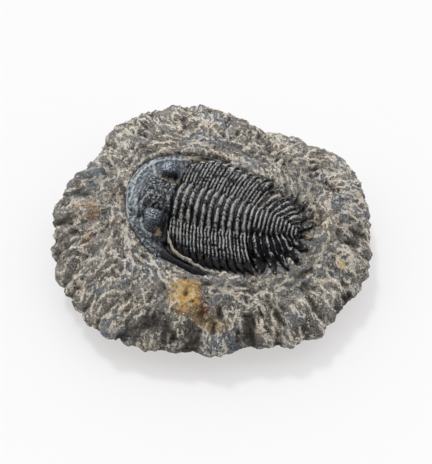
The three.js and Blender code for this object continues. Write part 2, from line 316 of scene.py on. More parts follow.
def tail_margin(turn):
    """The spiny edge of the tail, from its near front corner (turn 0) round to the far one (pi)."""
    across = (2 * SPINE_PAIRS + 1) * np.asarray(turn) / np.pi
    lobe = np.clip(1 - np.abs(across - np.floor(across) - 0.5) / 0.42, 0, 1) ** 0.85
    reach = 1 - SPINE_DEPTH * (1 - lobe)
    side = np.where(turn < np.pi / 2, 1.03, 0.95)
    u = TAIL_MIDDLE + 1.6 * np.cos(turn) ** 2 + TAIL_REACH * reach * np.sin(turn)
    return u, -TAIL_HALF_WIDTH * side * reach * np.cos(turn)


def tail_outline():
    across = np.arange(13, -15, -1)
    front = np.stack([joint_line(SEGMENTS, across), across], axis=-1)
    return np.vstack([front, np.stack(tail_margin(np.linspace(0.02, np.pi - 0.02, 240)), axis=-1)])


# The dish: a ground wall round the animal, steep on its far side and easy on its near side, over a
# floor that dips under the plates, so that only a narrow dark seam is left along their edge. Points
# near the stone's rim aren't measured from it, and count as FAR_OFF.
FAR_OFF = 30.0
to_head = stone_xy - HEAD_AT
across_axis = -to_head[:, 0] * math.sin(HEADING) + to_head[:, 1] * math.cos(HEADING)
along_axis = to_head[:, 0] * math.cos(HEADING) + to_head[:, 1] * math.sin(HEADING)
dish = np.full(len(stone), FAR_OFF)
body = np.full(len(stone), FAR_OFF)
inner = np.flatnonzero(is_top & (shares < 0.86))
dish_edge = smooth_line(DISH_KNOTS, 130, closed=True)
dish[inner] = outline_distance(along_axis[inner], across_axis[inner], dish_edge)
body[inner] = np.min([
    outline_distance(along_axis[inner], across_axis[inner], outline)
    for outline in (head_outline(), thorax_outline(), tail_outline())
], axis=0)
ragged = dish + 0.45 * waves(stone_xy, 5, 11) + 0.2 * waves(stone_xy, 1.8, 12)
wall_width = 1.5 + 1.9 * smoothstep(-across_axis, -12, 14)
wall = smoothstep(ragged, -0.9 * wall_width, 0.9 * wall_width)
past_plates = smoothstep(body + 0.15 * waves(stone_xy, 2.2, 13), 0.1, 1.1)
floor = DISH_FLOOR + (0.75 + far_rise(across_axis)) * past_plates
dug = floor + (np.maximum(heights, floor) - floor) * wall
stone[:, 2] = np.where(is_top & (dish < 6), np.minimum(heights, dug), heights)

# What the tree below needs at each point: how far the tool worked it, how near the knapped rim it
# is, which way the strokes run there (radially on the rim, round the animal beside the dish), and
# how smoothly it was ground: the dish's lip and a strip along the plates, most on the far side.
outward = stone_xy / np.maximum(np.linalg.norm(stone_xy, axis=1), 1e-6)[:, None]
rim = smoothstep(shares, 0.66, 0.9) * smoothstep(stone[:, 2], 0.1, 2.5)
fluted = rim * (0.3 + 0.7 * smoothstep(-0.5 * stone_xy[:, 0] - 0.87 * stone_xy[:, 1], -16, 20))
worked = is_top * smoothstep(stone[:, 2], 4, 9) * smoothstep(body, 0.0, 0.3)
beside = np.exp(-((dish - 2.0) / 3.2) ** 2)
from_animal = stone_xy - plan(ANIMAL_MIDDLE, 0)
round_it = np.stack([-from_animal[:, 1], from_animal[:, 0]], axis=-1)
round_it /= np.maximum(np.linalg.norm(round_it, axis=1), 1e-6)[:, None]
stroke = outward * (0.35 + rim)[:, None] + round_it * 1.8 * beside[:, None]
ground = np.maximum(0.5 * ridge((dish - 0.4) / 1.2), ridge((body - 1.2) / 0.6))
ground *= 0.25 + 0.75 * smoothstep(across_axis, -2, 8)

# Patterns are laid out on two drums, so that they can be drawn out from the middle of the stone to
# its rim and down its sides, or round the animal beside the dish. These are their radii, and the
# share of its length that a run down the stone keeps on its drum.
STONE_DRUM = 44
DISH_DRUM = 8
DRAWN_OUT = 0.38
top_run = np.cumsum(np.hypot(np.diff(top_stations[:, 0], prepend=0) * STONE_LENGTH / 2,
                             np.diff(top_stations[:, 1], prepend=top_stations[0, 1])))
base_run = np.cumsum(np.diff(base_stations[::-1, 0], prepend=base_stations[-1, 0])) * -STONE_LENGTH / 2
run = np.concatenate([top_run[top_ring], top_run[-1] + base_run[::-1][base_ring]])
place_round = 2 * np.pi * np.concatenate([top_turn, base_turn])
drum = np.column_stack([
    STONE_DRUM * np.cos(place_round), STONE_DRUM * np.sin(place_round), DRAWN_OUT * run,
])
about = np.arctan2(across_axis, along_axis - ANIMAL_MIDDLE)
around = np.column_stack([DISH_DRUM * np.cos(about), DISH_DRUM * np.sin(about), dish])
matrix = make_piece("limestone_matrix", stone, stone_faces, {
    "worked": worked, "rim": rim, "buried": 1 - smoothstep(body, -0.4, 0.1), "ground": ground,
    "fluted": fluted, "rugged": (1 - 0.5 * ground) * (1 - 0.35 * rim), "beside": beside,
    "drum": drum * MM, "around": around * MM,
    "foot": smoothstep(stone[:, 2], 0.0, 2.2),
    "stroke": np.column_stack([stroke, np.zeros(len(stone))]),
})


def node(tree, kind, inputs=None, **settings):
    """Adds a node, with its settings, and joins or sets its inputs by number or by shown name."""
    made = tree.nodes.new(kind)
    for setting, value in settings.items():
        setattr(made, setting, value)
    for key, value in (inputs or {}).items():
        by_name = [s for s in made.inputs if s.enabled and s.name == key]
        socket = made.inputs[key] if isinstance(key, int) else by_name[0]
        if isinstance(value, bpy.types.Node):
            value = next(s for s in value.outputs if s.enabled)
        if isinstance(value, bpy.types.NodeSocket):
            tree.links.new(value, socket)
        else:
            socket.default_value = value
    return made


def linear(code):
    """An sRGB hex colour as the linear one that a shader takes."""
    parts = [int(code[k:k + 2], 16) / 255 for k in (1, 3, 5)]
    return (*[c / 12.92 if c <= 0.04045 else ((c + 0.055) / 1.055) ** 2.4 for c in parts], 1)


def new_tree(name, inputs):
    """A Geometry Nodes tree with its geometry sockets and named inputs."""
    tree = bpy.data.node_groups.new(name, "GeometryNodeTree")
    tree.interface.new_socket("Geometry", in_out="INPUT", socket_type="NodeSocketGeometry")
    tree.interface.new_socket("Geometry", in_out="OUTPUT", socket_type="NodeSocketGeometry")
    for label, kind in inputs.items():
        tree.interface.new_socket(label, in_out="INPUT", socket_type=f"NodeSocket{kind}")
    return tree


def apply_tree(piece, tree, values):
    """Runs a tree on a piece and keeps its result as the piece's plain mesh."""
    modifier = piece.modifiers.new(tree.name, "NODES")
    modifier.node_group = tree
    for item in tree.interface.items_tree:
        if item.in_out == "INPUT" and item.name in values:
            modifier[item.identifier] = values[item.name]
    shown = piece.evaluated_get(bpy.context.evaluated_depsgraph_get())
    plain = bpy.data.meshes.new_from_object(shown)
    piece.modifiers.clear()
    piece.data = plain


def relief_tree():
    """Knobs, chips, bedding and grain in the stone, and the strokes of the air scribe over it."""
    tree = new_tree("knapped and scribed relief", {
        "Knob Size": "Float", "Knob Height": "Float", "Chip Size": "Float", "Chip Height": "Float",
        "Scoop Size": "Float", "Scoop Depth": "Float", "Flake Size": "Float", "Flake Slope": "Float",
        "Bed Height": "Float", "Grain Height": "Float", "Stroke Spacing": "Float",
        "Stroke Length": "Float", "Stroke Width": "Float", "Stroke Depth": "Float",
        "Peck Spacing": "Float", "Peck Length": "Float", "Peck Width": "Float", "Peck Depth": "Float",
        "Seed": "Int", "Material": "Material",
    })
    given = tree.nodes.new("NodeGroupInput").outputs
    position = node(tree, "GeometryNodeInputPosition")
    layer = {
        name: node(tree, "GeometryNodeInputNamedAttribute", {"Name": name}, data_type=kind)
        for kind, names in (
            ("FLOAT", ("worked", "rim", "fluted", "rugged", "beside", "buried", "foot", "force", "relief")),
            ("FLOAT_VECTOR", ("stroke", "drum", "around")),
        )
        for name in names
    }
    # Bedding shows as thin level layers, so its noise is squeezed from above.
    flat = node(tree, "ShaderNodeVectorMath", {0: position, 1: (0.22, 0.22, 1.0)}, operation="MULTIPLY")
    noise = {
        name: node(tree, "ShaderNodeTexNoise", {
            "Vector": at, "Scale": 1 / (size_mm * MM), "Detail": detail, "Roughness": roughness,
        })
        for name, at, size_mm, detail, roughness in (
            ("width", position, 1.1, 2, 0.6), ("swirl", position, 6, 2, 0.5),
            ("patch", position, 3, 2, 0.5), ("grain", position, 1.3, 4, 0.62), ("bed", flat, 1.1, 2, 0.6),
        )
    }
    per_size = {
        kind: node(tree, "ShaderNodeMath", {0: 1.0, 1: given[f"{kind} Size"]}, operation="DIVIDE")
        for kind in ("Knob", "Chip", "Scoop", "Flake")
    }

    # Strokes and pecks of the scribe: short bowed lines, each struck with its own force.
    seed = given["Seed"]
    bruises, cuts = [], []
    for kind, paleness in (("Stroke", 1.0), ("Peck", 0.8)):
        seed = node(tree, "ShaderNodeMath", {0: seed, 1: 7.0}, operation="ADD")
        size_seed, force_seed = (
            node(tree, "ShaderNodeMath", {0: seed, 1: step}, operation="ADD") for step in (1.0, 2.0)
        )
        points = node(tree, "GeometryNodeDistributePointsOnFaces", {
            "Mesh": given["Geometry"], "Distance Min": given[f"{kind} Spacing"], "Density Max": 3e6,
            "Density Factor": layer["worked"], "Seed": seed,
        }, distribute_method="POISSON")
        shake = node(tree, "FunctionNodeRandomValue", {
            "Min": (-0.75, -0.75, 0.0), "Max": (0.75, 0.75, 0.0), "Seed": seed,
        }, data_type="FLOAT_VECTOR")
        way = node(tree, "ShaderNodeVectorMath", {0: layer["stroke"], 1: shake}, operation="ADD")
        turned = node(tree, "FunctionNodeAlignRotationToVector", {
            "Rotation": points.outputs["Rotation"], "Vector": way,
        }, axis="X", pivot_axis="Z")
        size = node(tree, "FunctionNodeRandomValue", {
            "Min": (0.6, -1.0, 1.0), "Max": (1.3, 1.0, 1.0), "Seed": size_seed,
        }, data_type="FLOAT_VECTOR")
        size = node(tree, "ShaderNodeVectorMath", {
            0: size, "Scale": given[f"{kind} Length"],
        }, operation="SCALE")
        line = node(tree, "GeometryNodeMeshLine", {
            "Count": 6, "Start Location": (-0.5, 0.0, 0.0), "Offset": (0.2, 0.0, 0.0),
        })
        squared = node(tree, "ShaderNodeVectorMath", {0: position, 1: position}, operation="MULTIPLY")
        bow = node(tree, "ShaderNodeSeparateXYZ", {0: squared}).outputs["X"]
        arc = node(tree, "GeometryNodeSetPosition", {
            "Geometry": line, "Offset": node(tree, "ShaderNodeCombineXYZ", {"Y": bow}),
        })
        force = node(tree, "FunctionNodeRandomValue", {
            "Min": 0.0, "Max": 1.0, "Seed": force_seed,
        }, data_type="FLOAT")
        points = node(tree, "GeometryNodeStoreNamedAttribute", {
            "Geometry": points, "Name": "force", "Value": force,
        }, data_type="FLOAT", domain="POINT")
        strokes = node(tree, "GeometryNodeInstanceOnPoints", {
            "Points": points, "Instance": arc, "Rotation": turned, "Scale": size,
        })
        strokes = node(tree, "GeometryNodeRealizeInstances", {0: strokes})
        near = node(tree, "GeometryNodeProximity", {0: strokes}, target_element="EDGES")
        nearest = node(tree, "GeometryNodeSampleNearest", {0: strokes}, domain="POINT")
        force = node(tree, "GeometryNodeSampleIndex", {
            "Geometry": strokes, "Value": layer["force"], "Index": nearest,
        }, data_type="FLOAT", domain="POINT")
        wander = node(tree, "ShaderNodeMapRange", {
            "Value": noise["width"], "From Min": 0.3, "From Max": 0.7, "To Min": 0.35, "To Max": 1.35,
        })
        width = given[f"{kind} Width"]
        for factor in (0.5, wander, 1.7):
            width = node(tree, "ShaderNodeMath", {0: width, 1: factor}, operation="MULTIPLY")
        cut = node(tree, "ShaderNodeMapRange", {
            "Value": near.outputs["Distance"], "From Min": 0.0, "From Max": width,
            "To Min": 1.0, "To Max": 0.0,
        }, interpolation_type="SMOOTHSTEP")
        for factor in (force, layer["worked"]):
            cut = node(tree, "ShaderNodeMath", {0: cut, 1: factor}, operation="MULTIPLY")
        bruises.append(node(tree, "ShaderNodeMath", {0: cut, 1: paleness}, operation="MULTIPLY"))
        cuts.append(node(tree, "ShaderNodeMath", {0: cut, 1: given[f"{kind} Depth"]}, operation="MULTIPLY"))
    marks, carving = (
        node(tree, "ShaderNodeMath", {0: of_strokes, 1: of_pecks}, operation="MAXIMUM")
        for of_strokes, of_pecks in (bruises, cuts)
    )

    # The two drums and the plain place, each bent a little so that no pattern on it runs straight.
    swirl = node(tree, "ShaderNodeVectorMath", {
        0: noise["swirl"].outputs["Color"], 1: (0.5, 0.5, 0.5),
    }, operation="SUBTRACT")
    bent = []
    for at, bend_mm in ((layer["drum"], 3), (layer["around"], 2), (position, 1.5)):
        shift = node(tree, "ShaderNodeVectorMath", {0: swirl, "Scale": bend_mm * MM}, operation="SCALE")
        bent.append(node(tree, "ShaderNodeVectorMath", {0: at, 1: shift}, operation="ADD"))
    on_drum, round_dish, bent_place = bent
    cells = node(tree, "ShaderNodeTexVoronoi", {
        "Vector": on_drum, "Scale": per_size["Chip"], "Smoothness": 0.2,
    }, feature="SMOOTH_F1")
    chips = node(tree, "ShaderNodeMath", {0: 0.5, 1: cells}, operation="SUBTRACT")
    for factor in (given["Chip Height"], layer["fluted"]):
        chips = node(tree, "ShaderNodeMath", {0: chips, 1: factor}, operation="MULTIPLY")

    # Scoops: long shallow scars of the tool with sharp arrises between them, some of them crushed.
    bowls, arrises, depths = [], [], []
    for at in (on_drum, round_dish):
        scar, edge = (
            node(tree, "ShaderNodeTexVoronoi", {"Vector": at, "Scale": per_size["Scoop"]}, feature=feature)
            for feature in ("F1", "DISTANCE_TO_EDGE")
        )
        chance = node(tree, "ShaderNodeSeparateXYZ", {0: scar.outputs["Color"]})
        hollow = scar.outputs["Distance"]
        depths.append(hollow)
        hollow = node(tree, "ShaderNodeMath", {0: hollow, 1: 0.68, 2: 0.15}, operation="SMOOTH_MIN")
        hollow = node(tree, "ShaderNodeMath", {0: hollow, 1: 0.4}, operation="SUBTRACT")
        deep = node(tree, "ShaderNodeMath", {0: 0.45, 1: chance.outputs["Y"]}, operation="ADD")
        bowls.append(node(tree, "ShaderNodeMath", {0: hollow, 1: deep}, operation="MULTIPLY"))
        crushed = node(tree, "ShaderNodeMapRange", {
            "Value": edge, "From Min": 0.0, "From Max": 0.2, "To Min": 1.0, "To Max": 0.0,
        })
        some = node(tree, "ShaderNodeMapRange", {
            "Value": chance.outputs["X"], "From Min": 0.3, "From Max": 0.75,
        })
        arrises.append(node(tree, "ShaderNodeMath", {0: crushed, 1: some}, operation="MULTIPLY"))
    bowl, arris, scooped = (
        node(tree, "ShaderNodeMix", {"Factor": layer["beside"], "A": outer, "B": inner}, data_type="FLOAT")
        for outer, inner in (bowls, arrises, depths)
    )
    on_rim = node(tree, "ShaderNodeMath", {0: layer["rim"], 1: 0.5}, operation="MULTIPLY")
    on_stone = node(tree, "ShaderNodeMath", {0: layer["worked"], 1: on_rim}, operation="MAXIMUM")
    patchy = node(tree, "ShaderNodeMapRange", {"Value": noise["patch"], "From Min": 0.4, "From Max": 0.58})
    for factor in (given["Scoop Depth"], on_stone):
        bowl = node(tree, "ShaderNodeMath", {0: bowl, 1: factor}, operation="MULTIPLY")
    for factor in (patchy, layer["worked"], 0.9):
        arris = node(tree, "ShaderNodeMath", {0: arris, 1: factor}, operation="MULTIPLY")
    marks = node(tree, "ShaderNodeMath", {0: marks, 1: arris}, operation="MAXIMUM")

    # Small flat flakes, each cell of the pattern a facet leaning its own way.
    flake = node(tree, "ShaderNodeTexVoronoi", {
        "Vector": bent_place, "Scale": per_size["Flake"],
    }, feature="F1")
    lean = node(tree, "ShaderNodeVectorMath", {
        0: flake.outputs["Color"], 1: (0.5, 0.5, 0.5),
    }, operation="SUBTRACT")
    away = node(tree, "ShaderNodeVectorMath", {
        0: position, 1: flake.outputs["Position"],
    }, operation="SUBTRACT")
    tilt = node(tree, "ShaderNodeVectorMath", {0: lean, 1: away}, operation="DOT_PRODUCT").outputs["Value"]
    slope = node(tree, "ShaderNodeMath", {0: given["Flake Slope"], 1: 2.0}, operation="MULTIPLY")
    tilt = node(tree, "ShaderNodeMath", {0: tilt, 1: slope}, operation="MULTIPLY")

    knob = node(tree, "ShaderNodeTexNoise", {"Vector": position, "Scale": per_size["Knob"], "Detail": 2.0})
    bed_height = node(tree, "ShaderNodeMath", {
        0: given["Bed Height"], 1: layer["rim"],
    }, operation="MULTIPLY")
    swells = []
    for texture, height in (
        (knob, given["Knob Height"]), (noise["bed"], bed_height), (noise["grain"], given["Grain Height"]),
    ):
        swell = node(tree, "ShaderNodeMath", {0: texture, 1: 0.5}, operation="SUBTRACT")
        swells.append(node(tree, "ShaderNodeMath", {0: swell, 1: height}, operation="MULTIPLY"))
    knobs, beds, grain = swells
    unburied = node(tree, "ShaderNodeMath", {0: 1.0, 1: layer["buried"]}, operation="SUBTRACT")
    relief = bowl
    for operation, part in (
        ("ADD", grain), ("ADD", tilt), ("MULTIPLY", layer["rugged"]), ("ADD", knobs), ("ADD", chips),
        ("ADD", beds), ("SUBTRACT", carving), ("MULTIPLY", layer["foot"]), ("MULTIPLY", unburied),
        ("DIVIDE", MM),
    ):
        relief = node(tree, "ShaderNodeMath", {0: relief, 1: part}, operation=operation)

    stored = given["Geometry"]
    for name, field in (("mark", marks), ("relief", relief), ("cell", cells), ("bowl", scooped)):
        stored = node(tree, "GeometryNodeStoreNamedAttribute", {
            "Geometry": stored, "Name": name, "Value": field,
        }, data_type="FLOAT", domain="POINT")
    height = node(tree, "ShaderNodeMath", {0: layer["relief"], 1: MM}, operation="MULTIPLY")
    offset = node(tree, "ShaderNodeVectorMath", {
        0: node(tree, "GeometryNodeInputNormal"), "Scale": height,
    }, operation="SCALE")
    moved = node(tree, "GeometryNodeSetPosition", {"Geometry": stored, "Offset": offset})
    spot = node(tree, "ShaderNodeSeparateXYZ", {0: position})
    above = node(tree, "ShaderNodeMath", {0: spot.outputs["Z"], 1: 0.0}, operation="MAXIMUM")
    kept = node(tree, "ShaderNodeCombineXYZ", {
        "X": spot.outputs["X"], "Y": spot.outputs["Y"], "Z": above,
    })
    moved = node(tree, "GeometryNodeSetPosition", {"Geometry": moved, "Position": kept})
    moved = node(tree, "GeometryNodeRealizeInstances", {0: moved})
    dressed = node(tree, "GeometryNodeSetMaterial", {"Geometry": moved, "Material": given["Material"]})
    node(tree, "NodeGroupOutput", {0: dressed})
    return tree


# Stains in the stone: (x, y), (half length, half width), colour, strength. Iron has rusted to
# ochre, brown and dark red, clay-rich patches are blue-grey, and a few specks are pale calcite.
STAINS = [
    ((-33.4, 12.5), (4.6, 5.0), "#66727c", 0.75), ((-36.8, 7.0), (3.0, 3.0), "#6c7780", 0.7),
    ((28.2, 8.0), (4.6, 4.0), "#616b74", 0.7), ((30.3, -12.8), (4.0, 3.4), "#5d6873", 0.7),
    ((19.5, -23.0), (8.0, 5.0), "#5f686e", 0.6), ((2.5, -25.5), (3.4, 3.4), "#6d7374", 0.6),
    ((-36.8, 2.8), (4.6, 1.7), "#9c7a56", 0.55), ((-33.6, 0.2), (1.3, 3.4), "#96714c", 0.6),
    ((-38.0, -1.2), (3.4, 0.8), "#98795a", 0.5), ((-35.1, -8.8), (1.5, 2.8), "#94704a", 0.55),
    ((-26.4, 5.5), (1.0, 4.2), "#5d4730", 0.7), ((0.8, -35.1), (3.6, 2.0), "#a88d5c", 0.75),
    ((-3.3, -33.5), (2.4, 1.9), "#a58754", 0.7), ((-7.2, -27.4), (4.0, 4.4), "#d3a452", 1.0),
    ((-8.7, -25.6), (2.2, 2.0), "#d6b273", 0.9), ((-7.1, -26.9), (0.7, 0.55), "#4d2f10", 1.0),
    ((-5.7, -29.3), (0.6, 0.75), "#4a3113", 1.0), ((-1.9, -31.5), (1.2, 2.1), "#5f2414", 1.0),
    ((36.4, -16.8), (1.1, 1.2), "#cfbd84", 1.0), ((37.9, -3.8), (1.3, 0.7), "#c8bfb0", 0.9),
]


def start_material(name, layers, noises):
    """A new material with its tree and what it reads, by name: the mesh's own layers, and noises
    given as size in millimetres, detail, roughness and distortion."""
    material = bpy.data.materials.new(name)
    material.use_nodes = True
    tree = material.node_tree
    tree.nodes.clear()
    spot = node(tree, "ShaderNodeTexCoord").outputs["Object"]
    fields = {
        layer: node(tree, "ShaderNodeAttribute", attribute_name=layer).outputs["Fac"] for layer in layers
    }
    for label, (size_mm, detail, roughness, distortion) in noises.items():
        fields[label] = node(tree, "ShaderNodeTexNoise", {
            "Vector": spot, "Scale": 1 / (size_mm * MM), "Detail": detail, "Roughness": roughness,
            "Distortion": distortion,
        })
    return material, tree, spot, fields


def coat(tree, fields, colour, coats):
    """Lays coats over a colour in turn. A coat is its own colour and the factors of its share: the
    name of a field, or a rise in one, as (field, from, to, least, most)."""
    for tint, *factors in coats:
        share = None
        for factor in factors:
            part = fields.get(factor)
            if part is None:
                label, low, high, least, most = factor
                part = node(tree, "ShaderNodeMapRange", {
                    "Value": fields[label], "From Min": low, "From Max": high, "To Min": least,
                    "To Max": most,
                }, interpolation_type="SMOOTHSTEP")
            share = part if share is None else node(tree, "ShaderNodeMath", {
                0: share, 1: part,
            }, operation="MULTIPLY")
        tint = linear(tint) if isinstance(tint, str) else tint
        colour = node(tree, "ShaderNodeMix", {"Factor": share, "A": colour, "B": tint}, data_type="RGBA")
    return colour


def limestone():
    """Scribed limestone: a dull dark grey stone, mottled brown and blue-grey, with no shine. Where
    the tool struck it is bruised to a pale tan powder, and its hollows are painted dark as shade."""
    layers = ("bowl", "cell", "fluted", "ground", "mark", "relief", "worked")
    material, tree, spot, fields = start_material("scribed limestone", layers, {
        "tone": (7, 3, 0.6, 0), "clay": (11, 2, 0.5, 0.6), "crumbs": (1.5, 3, 0.7, 0),
        "fine": (0.45, 3, 0.75, 0), "pepper": (4.5, 2, 0.5, 0.3), "frayed": (0.9, 3, 0.8, 0),
        "warmth": (9, 2, 0.6, 0), "winding": (3.4, 4, 0.62, 0), "patchy": (5.5, 2, 0.5, 0.8),
        "ragged": (1.8, 4, 0.75, 0), "pits": (0.5, 4, 0.75, 0),
    })
    shifted = node(tree, "ShaderNodeVectorMath", {0: spot, 1: (0.31, 0.17, 0.05)}, operation="ADD")
    fields["iron"] = node(tree, "ShaderNodeTexNoise", {
        "Vector": shifted, "Scale": 1 / (5 * MM), "Detail": 3, "Roughness": 0.6, "Distortion": 0.4,
    })
    # Painted shade: each scar is darkened in its middle, where it is deepest, and crumbs of stone break up
    # the edge of the dark.
    crumbs = node(tree, "ShaderNodeMath", {0: fields["crumbs"], 1: 0.8}, operation="MULTIPLY")
    fields["scoop"] = node(tree, "ShaderNodeMath", {0: fields["bowl"], 1: crumbs}, operation="ADD")
    # Thin bruise lines wander over the worked stone where a noise crosses its middle.
    line = node(tree, "ShaderNodeMath", {0: fields["winding"], 1: 0.5}, operation="SUBTRACT")
    line = node(tree, "ShaderNodeMath", {0: line}, operation="ABSOLUTE")
    line = node(tree, "ShaderNodeMath", {0: fields["frayed"], 1: 0.1, 2: line}, operation="MULTIPLY_ADD")
    struck = node(tree, "ShaderNodeMath", {0: fields["mark"], 1: fields["frayed"]}, operation="ADD")
    rises = []
    for field, low, high, least, most in (
        (struck, 0.8, 1.02, 0, 1), (line, 0.075, 0.045, 0, 1), (fields["patchy"], 0.44, 0.56, 0, 1),
        (fields["worked"], 0.1, 0.6, 0.25, 0.85),
    ):
        rises.append(node(tree, "ShaderNodeMapRange", {
            "Value": field, "From Min": low, "From Max": high, "To Min": least, "To Max": most,
        }, interpolation_type="SMOOTHSTEP"))
    bruise, scratch, *limits = rises
    for limit in limits:
        scratch = node(tree, "ShaderNodeMath", {0: scratch, 1: limit}, operation="MULTIPLY")
    bruise = node(tree, "ShaderNodeMath", {0: bruise, 1: scratch}, operation="MAXIMUM")
    fields["bruise"] = bruise
    fields["faint bruise"] = node(tree, "ShaderNodeMath", {0: bruise, 1: 0.55}, operation="MULTIPLY")

    powder = coat(tree, fields, linear("#c2bdb3"), [
        ("#cfbca0", ("warmth", 0.4, 0.62, 0, 1)),
        ("#f0e8da", ("fine", 0.38, 0.62, 0, 1)),
    ])
    colour = coat(tree, fields, linear("#605d58"), [
        ("#89857e", ("tone", 0.35, 0.65, 0, 1)),
        ("#6a747f", ("clay", 0.49, 0.64, 0, 0.85)),
        ("#775f4a", ("iron", 0.54, 0.68, 0, 0.75)),
        ("#332e29", ("scoop", 0.8, 0.54, 0, 0.9)),
        ("#c6bfb3", ("fine", 0.54, 0.63, 0, 0.72)),
        ("#221d19", ("fine", 0.475, 0.41, 0, 1), ("pepper", 0.4, 0.6, 0.3, 0.85)),
        ("#bdb2a2", "ground", ("frayed", 0.42, 0.58, 0, 0.8)),
        (powder, "bruise", ("fine", 0.3, 0.6, 0.55, 1)),
    ])
    ragged = node(tree, "ShaderNodeMath", {0: fields["ragged"], 1: 1.6}, operation="MULTIPLY")
    for (x, y), (long, wide), stain, strength in STAINS:
        away = node(tree, "ShaderNodeVectorMath", {0: spot, 1: (x * MM, y * MM, 0)}, operation="SUBTRACT")
        away = node(tree, "ShaderNodeVectorMath", {
            0: away, 1: (1 / (long * MM), 1 / (wide * MM), 0),
        }, operation="MULTIPLY")
        away = node(tree, "ShaderNodeVectorMath", {0: away}, operation="LENGTH").outputs["Value"]
        fields["away"] = node(tree, "ShaderNodeMath", {
            0: away, 1: 0.8, 2: ragged,
        }, operation="MULTIPLY_ADD")
        stained = coat(tree, fields, linear(stain), [
            ("#dccdab", "faint bruise"),
            ("#3a2c1c", ("fine", 0.455, 0.39, 0, 0.8)),
        ])
        colour = coat(tree, fields, colour, [(stained, ("away", 1.95, 1.2, 0, strength))])
    # Painted shade: the low hollows of the relief and the crevices between the knobs of the fluted rim are
    # darkened.
    colour = coat(tree, fields, colour, [
        ("#2a2520", ("relief", 0.0, -1.0, 0, 0.75)),
        ("#2a2521", ("cell", 0.55, 0.8, 0, 1), ("fluted", 0.3, 0.9, 0, 0.5)),
    ])
    dullness = node(tree, "ShaderNodeMapRange", {
        "Value": bruise, "From Min": 0, "From Max": 1, "To Min": 0.78, "To Max": 0.95,
    }, interpolation_type="SMOOTHSTEP")
    bumps = node(tree, "ShaderNodeBump", {"Height": fields["pits"], "Strength": 1.0, "Distance": 0.45 * MM})
    surface = node(tree, "ShaderNodeBsdfPrincipled", {
        "Base Color": colour, "Roughness": dullness, "Normal": bumps, "IOR": 1.55,
        "Specular IOR Level": 0.35,
    })
    node(tree, "ShaderNodeOutputMaterial", {"Surface": surface})
    return material


apply_tree(matrix, relief_tree(), {
    "Knob Size": 11 * MM, "Knob Height": 1.9 * MM, "Chip Size": 4.8 * MM, "Chip Height": 2.8 * MM,
    "Scoop Size": 2.6 * MM, "Scoop Depth": 2.4 * MM, "Flake Size": 2.0 * MM, "Flake Slope": 0.3,
    "Bed Height": 0.6 * MM, "Grain Height": 0.9 * MM, "Stroke Spacing": 2.3 * MM,
    "Stroke Length": 4.4 * MM, "Stroke Width": 1.1 * MM, "Stroke Depth": 0.25 * MM,
    "Peck Spacing": 1.4 * MM, "Peck Length": 1.1 * MM, "Peck Width": 0.5 * MM, "Peck Depth": 0.12 * MM,
    "Seed": 5, "Material": limestone(),
})
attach(matrix, "root")
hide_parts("matrix")

# The preparator left a thin wall of stone standing between the near genal spine and the thorax.
SLIVER = [
    (15.6, -9.9), (16.7, -12.1), (18, -14), (19.8, -15.2), (22.5, -16.3), (26.3, -17.3), (29.3, -17.9),
    (31.1, -18.1),
]
SLIVER_STEPS = 90
SLIVER_FOOT = -0.3
sliver_height = profile([(15.6, 4.7), (16.7, 4.3), (18, 3.6), (19.8, 3.1), (26, 2.4), (31.1, 0.9)])


def stone_sliver():
    """The wall of stone as a closed strip, with a crest that is bruised pale."""
    line = smooth_line(SLIVER, SLIVER_STEPS)
    way = np.gradient(line, axis=0)
    way /= np.linalg.norm(way, axis=1)[:, None]
    across = np.stack([-way[:, 1], way[:, 0]], axis=-1)
    wobble = 0.14 * waves(line, 2.4, 61)[:, None]
    top = sliver_height(line[:, 0]) + 0.25 * waves(line, 1.9, 62) + 0.12 * waves(line, 0.8, 63)
    rows = []
    for offset, share in ((-0.4, 0), (-0.26, 0.6), (-0.1, 0.96), (0.1, 1), (0.26, 0.55), (0.4, 0)):
        spread = np.clip(1.15 - np.abs(np.linspace(-1, 1, len(line))) ** 6, 0.15, 1)[:, None]
        spot = line + across * (offset * spread + wobble)
        height = DISH_FLOOR + SLIVER_FOOT + (top - SLIVER_FOOT) * share
        rows.append(np.column_stack([*plan(spot[:, 0], spot[:, 1]), height]))
    points = np.concatenate(rows)
    index = np.arange(len(points)).reshape(len(rows), -1)
    after = np.roll(index, -1, axis=0)
    quads = np.stack([index[:, :-1], index[:, 1:], after[:, 1:], after[:, :-1]], axis=-1).reshape(-1, 4)
    faces = quads.tolist() + [index[:, 0].tolist(), index[::-1, -1].tolist()]
    pale = np.concatenate([np.full(len(line), share) for share in (0.1, 0.5, 0.9, 0.9, 0.5, 0.1)])
    return make_piece("matrix_sliver", points, faces, {"mark": pale, "bowl": np.full(len(points), 0.5)})


sliver = stone_sliver()
sliver.data.materials.append(matrix.data.materials[0])
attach(sliver, "root")

# ---------------------------------------------------------------------------------------------
# The cephalon: the head shield, one plate of mineralised cuticle with its two eyes grown in it. A
# flat border runs round the front and is drawn out behind into two genal spines; the glabella
# swells between the eyes. The preparator's abrasive has bleached its border blue-grey.
# ---------------------------------------------------------------------------------------------
# An ellipse over the head, across which the border and the cheeks rise.
HEAD_MIDDLE = (14, 0.6)
HEAD_RADII = (14.4, 16.6)
BORDER_HEIGHT = 1.7
CHEEK_HEIGHT = 5.0
HEAD_STEP = 0.21
# How near the outline a point of the head's grid must lie to be moved onto it.
SNAP = 0.55 * HEAD_STEP
SUNK = -0.3
GLABELLA_MIDDLE = 0.2
glabella_half = profile([(2.2, 2.6), (4, 5.6), (6, 6.5), (8.5, 6.0), (11, 5.0), (12.4, 4.6), (14.6, 5.0)])
glabella_crest = profile([
    (1.8, 1.9), (2.6, 3.4), (3.8, 5.2), (5.8, 6.9), (8.5, 7.5), (11.5, 7.4), (14.6, 7.2),
])
